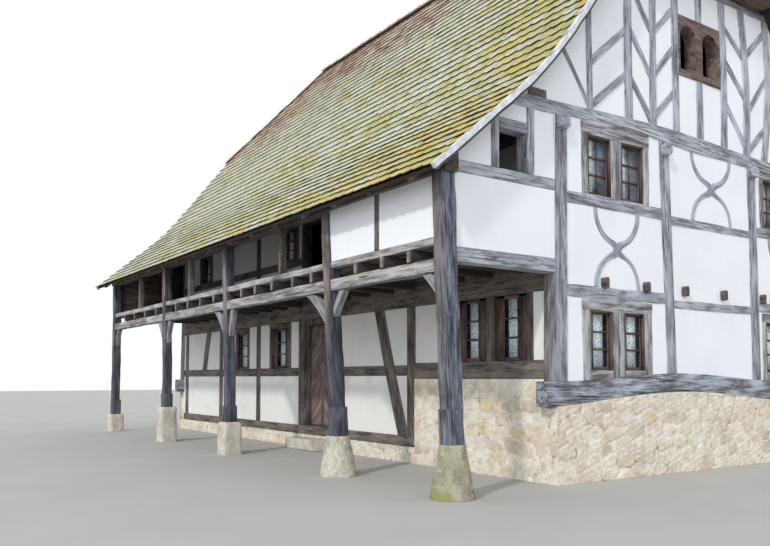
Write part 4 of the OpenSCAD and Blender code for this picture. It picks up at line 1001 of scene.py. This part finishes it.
def gable_sheet(end, depth):
    """Plaster face of a gable behind its timbers: a grid over the wall, clipped under the roof and left open
    at the windows, that waves in and out by a few millimetres as a sum of sines of y and z."""
    wall, outer = (GABLE if end > 0 else FAR_GABLE), depth < 0.1
    attic, tie, top, cell = 5, 4.56, 6.94, 0.12
    holes = []
    for points, tris in solids("window_glass") + solids("arched_windows"):
        lo, hi = reach(points)
        if abs(lo[0] - wall) < 0.3 and hi[0] - lo[0] < 0.3:
            grow = 0.045 if lo[2] < attic else -0.02
            holes.append((lo[1] - grow, hi[1] + grow, lo[2] - grow, hi[2] + grow))
    y = [np.arange(-AISLE + 0.25, AISLE - 0.2, cell), [-WALL, WALL]] + [hole[:2] for hole in holes]
    z = [np.arange(1.0, top + 0.01, cell), [top]] + [hole[2:] for hole in holes]
    y, z = (np.unique(np.round(np.concatenate(places), 4)) for places in (y, z))
    roof = np.interp(np.abs(y), *below(np.linspace(0, LENGTH, 500), 0.08))
    yy, zz = np.meshgrid(y, z, indexing="ij")
    my, mz = (y[1:] + y[:-1])[:, None] / 2, (z[1:] + z[:-1])[None] / 2
    bare = (np.abs(my) > WALL) & (mz < tie) | (zz[:-1, :-1] > np.maximum(roof[1:], roof[:-1])[:, None])
    bare |= mz < 1.1 + 0.1 * np.exp(-((my + 0.6) / 1.6) ** 2)
    for left, right, low, high in holes:
        bare |= (my > left) & (my < right) & (mz > low) & (mz < high)
    zz = np.minimum(zz, roof[:, None])
    wave = 0.003 * np.sin(2.1 * yy + 1.7 * zz) + 0.002 * np.sin(5.3 * yy - 3.1 * zz) + 0.0015 * np.sin(9 * zz)
    x = wall - end * (depth - (wave - 0.001) * outer)
    quads = grid_faces(len(y), len(z)).reshape(len(y) - 1, len(z) - 1, 4)[~bare]
    return np.stack([x, yy, zz], -1).reshape(-1, 3), [quads if (end > 0) == outer else quads[:, ::-1]], {}


class HOUSE_OT_plaster(bpy.types.Operator):
    """Limewashes the panels between the timbers"""
    bl_idname = "house.plaster"
    bl_label = "Plaster"

    def execute(self, context):
        colours = context.scene.house_colours
        bright = plaster("Gable limewash", tuple(colours.limewash), "#dcdee2", 0.3)
        shade = plaster("Sheltered limewash", tuple(colours.sheltered_limewash), "#cbc7bf", 0.45)
        paint("gallery_panels", bright)
        paint("wall_plaster", shade)
        sheets = joined([gable_sheet(end, depth) for end in (1, -1) for depth in (0.014, 0.186)])
        place("gable_limewash", sheets, bright, ["gable_plaster"])
        return {"FINISHED"}


def curved_brace(path, width, front, back):
    """Curved timber let into the wall: at each place on the path, given as (y, z), its section is a flat bar
    with rounded front edges across the path's normal."""
    step = np.gradient(path, axis=0)
    normal = np.stack([-step[:, 1], step[:, 0]], -1) / np.linalg.norm(step, axis=1)[:, None]
    share = np.array([-0.5, -0.5, -0.36, 0.36, 0.5, 0.5]) * width[:, None]
    yz = path[:, None] + normal[:, None] * share[..., None]
    x = back + (front - back) * np.broadcast_to([0, 0.72, 1, 1, 0.72, 0], share.shape)
    points = np.concatenate([x[..., None], yz], -1).reshape(-1, 3)
    n = len(path)
    along = np.concatenate([[0], np.cumsum(np.linalg.norm(np.diff(path, axis=0), axis=1))])
    grain = np.stack([np.broadcast_to(along[:, None], x.shape), share, x], -1).reshape(-1, 3)
    caps = np.array([np.arange(6), np.arange(6)[::-1] + 6 * (n - 1)])
    flip = front > back
    faces = [grid_faces(n, 6, wrap=True, flip=flip), caps if flip else caps[:, ::-1]]
    return points, faces, {"grain": grain, "tone": np.full(6 * n, 0.6)}


class HOUSE_OT_ornaments(bpy.types.Operator):
    """Sets the curved crossing braces, a cup over an arch, in the panels of both gables"""
    bl_idname = "house.ornaments"
    bl_label = "Ornaments"

    def execute(self, context):
        carved = wood("Carved oak", "#b7bfc8", "#7d828c", "#3b3737", 0.5, 0.5, 0.004)
        panel, spans = 1.9, {}
        for points, tris in solids("gable_ornaments"):
            lo, hi = reach(points)
            key = (lo[0] > 0, round(float(lo[1] + hi[1]) / 2 / panel))
            old = spans.get(key, (lo, hi))
            spans[key] = (np.minimum(lo, old[0]), np.maximum(hi, old[1]))
        t = np.linspace(-np.pi / 2, np.pi / 2, 49)
        u = np.sin(t)
        rise = 0.14 * np.tanh(u / 0.14) + 0.86 * np.sign(u) * (1 - np.cos(t))
        width = 0.08 + 0.05 * np.exp(-(u / 0.2) ** 2)
        parts = []
        for (near, _), (lo, hi) in spans.items():
            wall, out = (GABLE, 1) if near else (FAR_GABLE, -1)
            middle, half = (lo[1] + hi[1]) / 2, (hi[1] - lo[1]) / 2 - 0.035
            z = (lo[2] + hi[2]) / 2 + (hi[2] - lo[2] + 0.01) / 2 * rise
            for turn, sunk in ((1, 0.001), (-1, 0.007)):
                path = np.stack([middle + turn * half * u, z], -1)
                parts.append(curved_brace(path, width, wall - out * sunk, wall - out * 0.03))
        place("ornament_timbers", joined(parts), carved, ["gable_ornaments"])
        return {"FINISHED"}


def rubble(a, b, height, out, seed):
    """Face of a rubble wall from a to b: a grid of points that stand out from the wall by a smooth step of
    the distance to the nearest joint, where the joints are the Worley cells of scattered stone middles."""
    a, b, out = np.array(a, float), np.array(b, float), np.array(out, float)
    course, shortest, longest, step, back, chunk = 0.17, 0.17, 0.46, 0.02, 0.02, 24
    length, tallest = np.linalg.norm(b - a), np.max(height)
    n, m = int(length / step) + 1, int(tallest / step) + 1
    u = np.linspace(0, length, n)
    uu, vv = np.meshgrid(u, np.linspace(0, 1, m), indexing="ij")
    vv = vv * np.interp(u, np.linspace(0, length, len(height)), height)[:, None]
    rng = np.random.default_rng(seed)
    seeds = []
    for level in np.arange(-0.1, tallest + 0.3, course):
        x = np.cumsum(rng.uniform(shortest, longest, int(length / 0.18) + 4)) - 0.5
        x = x[x < length + 0.4]
        seeds.append(np.stack([x, level + rng.normal(0, 0.022, len(x))], -1))
    seeds = np.concatenate(seeds)
    seeds = seeds[np.argsort(seeds[:, 0])]
    warp_u = uu + 0.012 * np.sin(vv * 31 + 2 * np.sin(uu * 13)) + 0.007 * np.sin(uu * 57 + vv * 40)
    warp_v = vv + 0.012 * np.sin(uu * 27 + 2 * np.sin(vv * 17)) + 0.007 * np.sin(vv * 63 - uu * 35)
    gap, owner = np.empty(uu.shape), np.empty(uu.shape, dtype=int)
    for start in range(0, n, chunk):
        rows = slice(start, min(n, start + chunk))
        near = np.where((seeds[:, 0] > u[rows][0] - 0.6) & (seeds[:, 0] < u[rows][-1] + 0.6))[0]
        d = np.hypot(0.72 * (warp_u[rows][..., None] - seeds[near, 0]),
                     1.25 * (warp_v[rows][..., None] - seeds[near, 1]))
        rank = np.argsort(d, axis=2)[..., :2]
        first, second = np.moveaxis(np.take_along_axis(d, rank, 2), 2, 0)
        gap[rows], owner[rows] = second - first, near[rank[..., 0]]
    bed = np.clip((gap - 0.012) / 0.03, 0, 1)
    bed = bed * bed * (3 - 2 * bed)
    face = rng.uniform(0.55, 1, len(seeds))[owner]
    rough = 0.002 * (np.sin(uu * 71 + 3 * np.sin(vv * 47)) + np.sin(vv * 83 - uu * 29))
    rise = np.clip(0.011 * bed * face + 0.005 + rough, 0.001, 0.019)
    rise[[0, -1], :] = 0.012
    points = a + (uu / length)[..., None] * (b - a) + np.array([0, 0, 1]) * vv[..., None]
    points = points + (rise - back)[..., None] * out
    tone = rng.uniform(0, 1, len(seeds))[owner]
    return points.reshape(-1, 3), [grid_faces(n, m)], {"tone": tone.ravel(), "bed": bed.ravel()}


def post_stone(k, points):
    """Stone under a gallery post: rings of a superellipse, round and tapered under the first two posts and
    squared with a worn head under the others, dented by a sum of sines of the height and the angle."""
    lo, hi = reach(points)
    middle, foot = (lo + hi) / 2, (hi[0] - lo[0]) / 2
    rows, count = 26, 48
    v = np.linspace(0, 1, rows)[:, None]
    a = np.arange(count)[None] / count * 2 * np.pi
    if k < 2:
        power, worn, radius = 2.0, 0.018, foot + ((0.15, 0.165)[k] - foot) * v
    else:
        power, worn, radius = 7.0, 0.008, foot * np.where(v < 0.93, 1 - 0.03 * v, 0.97 - 1.2 * (v - 0.93))
    p = np.random.default_rng(70 + k).uniform(0, 6.28, 6)
    dent = np.sin(2 * a + 5 * v + p[0]) + np.sin(5 * a - 7 * v + p[1]) + 0.6 * np.sin(9 * a + 13 * v + p[2])
    r = radius * (np.abs(np.cos(a)) ** power + np.abs(np.sin(a)) ** power) ** (-1 / power)
    r = r - worn * np.clip(0.5 + 0.2 * dent, 0, 1.2)
    r[-1] *= 0.97
    z = np.broadcast_to(v * (hi[2] - lo[2]) + lo[2], r.shape)
    rings = np.stack([middle[0] + r * np.cos(a), middle[1] + r * np.sin(a), z], -1).reshape(-1, 3)
    caps = np.stack([np.arange(count)[::-1], np.arange(count) + (rows - 1) * count])
    return rings, [grid_faces(rows, count, wrap=True), caps]


class HOUSE_OT_stones(bpy.types.Operator):
    """Builds the rubble plinth, the stones under the posts and the door step"""
    bl_idname = "house.stones"
    bl_label = "Stones"

    def execute(self, context):
        mason = rubble_material("Rubble in mortar")
        low, high = corners("plinth")
        plain, room, porch = 0.914, 1.265, 0.24
        span = np.linspace(low[1], high[1], 60) + 0.2 * POST_LINE
        hump = plain + 0.176 * np.where(np.abs(span) < 3.2, (1 + np.cos(np.pi * span / 3.2)) / 2, 0)
        corner = GABLE - 0.2
        faces = [rubble((x0, y0, 0), (x1, y1, 0), top, out, seed) for x0, y0, x1, y1, top, out, seed in (
            (high[0], low[1], high[0], high[1], hump, (1, 0, 0), 61),
            (low[0], high[1], low[0], low[1], hump[::-1], (-1, 0, 0), 62),
            (ROOM_WALL, low[1], corner, low[1], [room, room], (0, -1, 0), 63),
            (corner, low[1], high[0], low[1], [plain, plain], (0, -1, 0), 66),
            (low[0], low[1], ROOM_WALL, low[1], [porch, porch], (0, -1, 0), 64),
            (high[0], high[1], low[0], high[1], [plain, plain], (0, 1, 0), 65))]
        place("plinth_rubble", joined(faces), mason, ["plinth"])
        core = []
        for points, tris in solids("plinth"):
            points[:, :2] = np.clip(points[:, :2], low[:2] + 0.026, high[:2] - 0.026)
            core.append((points, [tris], {"tone": np.full(len(points), 0.5), "bed": np.zeros(len(points))}))
        place("plinth_core", joined(core), mason, smooth=0)
        mossy, pale, square = (stone_material(*values) for values in (
            ("Mossy corner stone", "#b1ae98", "#716e58", 0.27, 0.3, 0.18),
            ("Pale cone stone", "#cfcabd", "#8f897a", 0.16, 0.36, 0.2),
            ("Squared stone", "#d6d0c6", "#aaa298", 0.08, 0.34, 0.14)))
        found = sorted(solids("post_stones"), key=lambda stone: -stone[0][:, 0].mean())
        for k, (points, tris) in enumerate(found):
            look, nodes = (mossy, pale, square)[min(k, 2)], ["post_stones"] if k == 0 else ()
            place("post_stone_%d" % (k + 1), post_stone(k, points), look, nodes, smooth=50)
        timbers("door_step_stone", ["door_step"], square, round_off=0.02, wane=0.008, seed=77)
        return {"FINISHED"}


def bar(thin, across, up, through_wall):
    """Corners of a bar, from its ranges across and up its window and through the wall, whose axis is thin."""
    ends = [up, up, up]
    ends[thin], ends[1 - thin] = through_wall, across
    return [min(pair) for pair in ends], [max(pair) for pair in ends]


class HOUSE_OT_windows(bpy.types.Operator):
    """Glazes the windows: sashes, glazing bars, old glass and lace behind it"""
    bl_idname = "house.windows"
    bl_label = "Windows"

    def execute(self, context):
        light = tuple(context.scene.house_colours.sash)
        brown = wood("Brown sash", light, "#382c28", "#1c1511", 0.5, 0.5, 0.002)
        timbers("window_sash_timbers", ["window_sashes"], brown,
                round_off=0.006, wane=0.001, seed=81, step=0.3)
        walls = {(0, 1): GABLE, (0, -1): FAR_GABLE, (1, -1): -WALL, (1, 1): AISLE}
        panes, bars, linings = [], [], []
        for points, tris in solids("window_glass"):
            lo, hi = reach(points)
            thin = int(np.argmin(hi - lo))
            left, right = lo[1 - thin], hi[1 - thin]
            low, high = lo[2], hi[2]
            out = 1 if lo[thin] + hi[thin] > 0 else -1
            wall, face = walls[(thin, out)], (hi if out > 0 else lo)[thin]
            upper = thin == 0 and low > 3
            room = thin == 1 and right - left > 0.5
            p, f, v = boxes([lo], [hi])
            u = 0.5 + ((p[:, 1 - thin] - left) / (right - left) - 0.5) * (1.9 if room else 1)
            v["pane"] = np.stack([u, (p[:, 2] - low) / (high - low), np.full(8, float(upper))], -1)
            panes.append((p, f, v))
            deep = (face - out * 0.012, face + out * 0.014)
            if upper:
                middle = (left + right) / 2
                bars.append(bar(thin, (middle - 0.012, middle + 0.012), (low, high), deep))
            for share in (1 / 3, 2 / 3):
                at = low + share * (high - low)
                bars.append(bar(thin, (left, right), (at - 0.013, at + 0.013), deep))
            casing = 0.16 if room else 0.0
            deep = (wall - out * 0.062, wall - out * (0.055 if room else 0.014))
            for across, up in (((left - 0.045, left - 0.02 + casing), (low - 0.045, high + 0.045)),
                               ((right + 0.02 - casing, right + 0.045), (low - 0.045, high + 0.045)),
                               ((left - 0.02, right + 0.02), (high + 0.02, high + 0.045))):
                linings.append(bar(thin, across, up, deep))
        place("window_panes", joined(panes), glass("Old glass"), ["window_glass"], smooth=0)
        for name, kept in (("glazing_bars", bars), ("window_linings", linings)):
            lows, highs = zip(*kept)
            place(name, boxes(lows, highs, 82), brown, smooth=0)
        return {"FINISHED"}


def chevron(low, high):
    """Slanted boards on both halves of the door leaf's face: board edges stand at w = z + u, where u is the
    distance from the middle, and each board has a groove at its lower edge."""
    board, groove, recess, bend = 0.13, 0.006, 0.007, 16
    middle, half = (low[0] + high[0]) / 2, (high[0] - low[0]) / 2
    count = int((high[2] - low[2] + half) / board) + 3
    edges = np.array([0, groove, board - groove, board - 0.0005])
    w = (low[2] - 0.1 + np.arange(count)[:, None] * board + edges).ravel()
    rng = np.random.default_rng(90)
    tone, shift = (np.repeat(rng.uniform(0, top, count), 4) for top in (1, 40))
    uu, ww = np.meshgrid(np.linspace(0, half, bend), w, indexing="ij")
    z = np.clip(ww - uu, low[2], high[2])
    y = np.broadcast_to(low[1] + 0.002 + np.tile([recess, 0.0, 0.0, recess], count), uu.shape)
    values = {"grain": np.stack([uu * 1.41 + shift, ww % board, y], -1).reshape(-1, 3),
              "tone": np.broadcast_to(tone, uu.shape).ravel()}
    return [(np.stack([middle + side * uu, y, z], -1).reshape(-1, 3),
             [grid_faces(bend, len(w), flip=side < 0)], values) for side in (-1, 1)]


class HOUSE_OT_door(bpy.types.Operator):
    """Boards the front door in a chevron and blackens its straps"""
    bl_idname = "house.door"
    bl_label = "Front door"

    def execute(self, context):
        light = tuple(context.scene.house_colours.door)
        look = wood("Door boards", light, "#5b4b48", "#1d1612", 0.6, 0.5, 0.003)
        low, high = corners("door_leaf")
        lows, highs = [[low[0], low[1] + 0.01, low[2]]], [list(high)]
        stile = 0.06
        for x in (low[0], (low[0] + high[0]) / 2 - stile / 2, high[0] - stile):
            lows.append([x, low[1], low[2]])
            highs.append([x + stile, low[1] + 0.011, high[2]])
        leaf = joined(chevron(low, high) + [boxes(lows, highs, 91)])
        place("door_chevron_boards", leaf, look, ["door_leaf"], body="door", smooth=0)
        iron = two_tone("Forged iron", "#211f1e", "#3a3633", scale=30, rough=0.6, depth=0.001, metal=0.7)
        paint("door_straps", iron)
        return {"FINISHED"}


def sun(name, energy, angle, colour, way):
    """Distant light that shines along a direction; its angle in degrees softens the shadows."""
    lamp = bpy.data.lights.new(name, "SUN")
    lamp.energy, lamp.angle, lamp.color = energy, math.radians(angle), colour
    light = bpy.data.objects.new(name, lamp)
    light.rotation_euler = Vector(way).to_track_quat("-Z", "Y").to_euler()
    bpy.context.scene.collection.objects.link(light)


class HOUSE_OT_stage(bpy.types.Operator):
    """Sets out the floor, the lights and the camera"""
    bl_idname = "house.stage"
    bl_label = "Stage"

    def execute(self, context):
        scene, light = context.scene, context.scene.house_light
        look, tree = material("Pale floor")
        pale = ramp(noise(position(tree), 0.6, 3), [(0.3, "#aeaca8"), (0.7, "#b4b2ae")])
        half, drop = 70, -0.002
        edge = [[-half, -half, drop], [half, -half, drop], [half, half, drop], [-half, half, drop]]
        mesh = mesh_from("floor", edge, [[[0, 1, 2, 3]]])
        mesh.materials.append(surface(look, pale, 0.95))
        floor = bpy.data.objects.new("floor", mesh)
        scene.collection.objects.link(floor)
        scene.world = bpy.data.worlds.new("Plain sky")
        scene.world.use_nodes = True
        tree = scene.world.node_tree
        tree.nodes.clear()
        path = add(tree, "ShaderNodeLightPath")
        seen = Signal(path.outputs["Is Camera Ray"])
        for key in ("Is Glossy Ray", "Is Transmission Ray"):
            seen = seen.maths("MAXIMUM", Signal(path.outputs[key]))
        soft = through(seen, "ShaderNodeBackground", {"Color": "#eef2f8", "Strength": light.sky})
        white = through(seen, "ShaderNodeBackground", {"Color": "#ffffff", "Strength": 1.0})
        both = through(seen, "ShaderNodeMixShader", {0: seen, 1: soft, 2: white})
        add(tree, "ShaderNodeOutputWorld", {0: both})
        sun("Key light", light.sun, angle=4, colour=(1.0, 0.985, 0.96), way=(-0.3, 0.74, -0.62))
        sun("Fill light", light.fill, angle=50, colour=(0.97, 0.985, 1.0), way=(-0.75, 0.62, -0.12))
        data = bpy.data.cameras.new("Photograph")
        data.sensor_width, data.lens, data.shift_y, data.clip_end = 36, 36.396, 0.08357, 200
        camera = bpy.data.objects.new("Photograph", data)
        camera.location = (GABLE + 6.5238, -POST_LINE - 7.0710, 1.28)
        yaw, tilt = math.radians(145.565), math.radians(2.979)
        way = Vector((math.cos(tilt) * math.cos(yaw), math.cos(tilt) * math.sin(yaw), math.sin(tilt)))
        camera.rotation_euler = way.to_track_quat("-Z", "Y").to_euler()
        scene.collection.objects.link(camera)
        scene.camera = camera
        scene.view_settings.view_transform = "Standard"
        return {"FINISHED"}


PIECES = (HOUSE_OT_stage, HOUSE_OT_roof, HOUSE_OT_timbers, HOUSE_OT_plaster, HOUSE_OT_ornaments,
          HOUSE_OT_stones, HOUSE_OT_windows, HOUSE_OT_door)
SETTINGS = (("house_roof", HouseRoof), ("house_timber", HouseTimber), ("house_colours", HouseColours),
            ("house_light", HouseLight))


class HOUSE_PT_panel(bpy.types.Panel):
    """Lists the pieces of the house and their settings"""
    bl_label = "Half-Timbered House"
    bl_space_type = "VIEW_3D"
    bl_region_type = "UI"
    bl_category = "House"

    def draw(self, context):
        for piece in PIECES:
            self.layout.operator(piece.bl_idname)
        for name, kind in SETTINGS:
            rows = self.layout.box()
            for key in kind.__annotations__:
                rows.prop(getattr(context.scene, name), key)


def register():
    for name, kind in SETTINGS:
        bpy.utils.register_class(kind)
        setattr(bpy.types.Scene, name, bpy.props.PointerProperty(type=kind))
    for kind in (*PIECES, HOUSE_PT_panel):
        bpy.utils.register_class(kind)


def unregister():
    for kind in (HOUSE_PT_panel, *reversed(PIECES)):
        bpy.utils.unregister_class(kind)
    for name, kind in SETTINGS:
        delattr(bpy.types.Scene, name)
        bpy.utils.unregister_class(kind)


def main():
    """Registers the add-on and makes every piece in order."""
    register()
    bpy.ops.house.stage()
    bpy.ops.house.roof()
    bpy.ops.house.timbers()
    bpy.ops.house.plaster()
    bpy.ops.house.ornaments()
    bpy.ops.house.stones()
    bpy.ops.house.windows()
    bpy.ops.house.door()


if __name__ == "__main__":
    main()
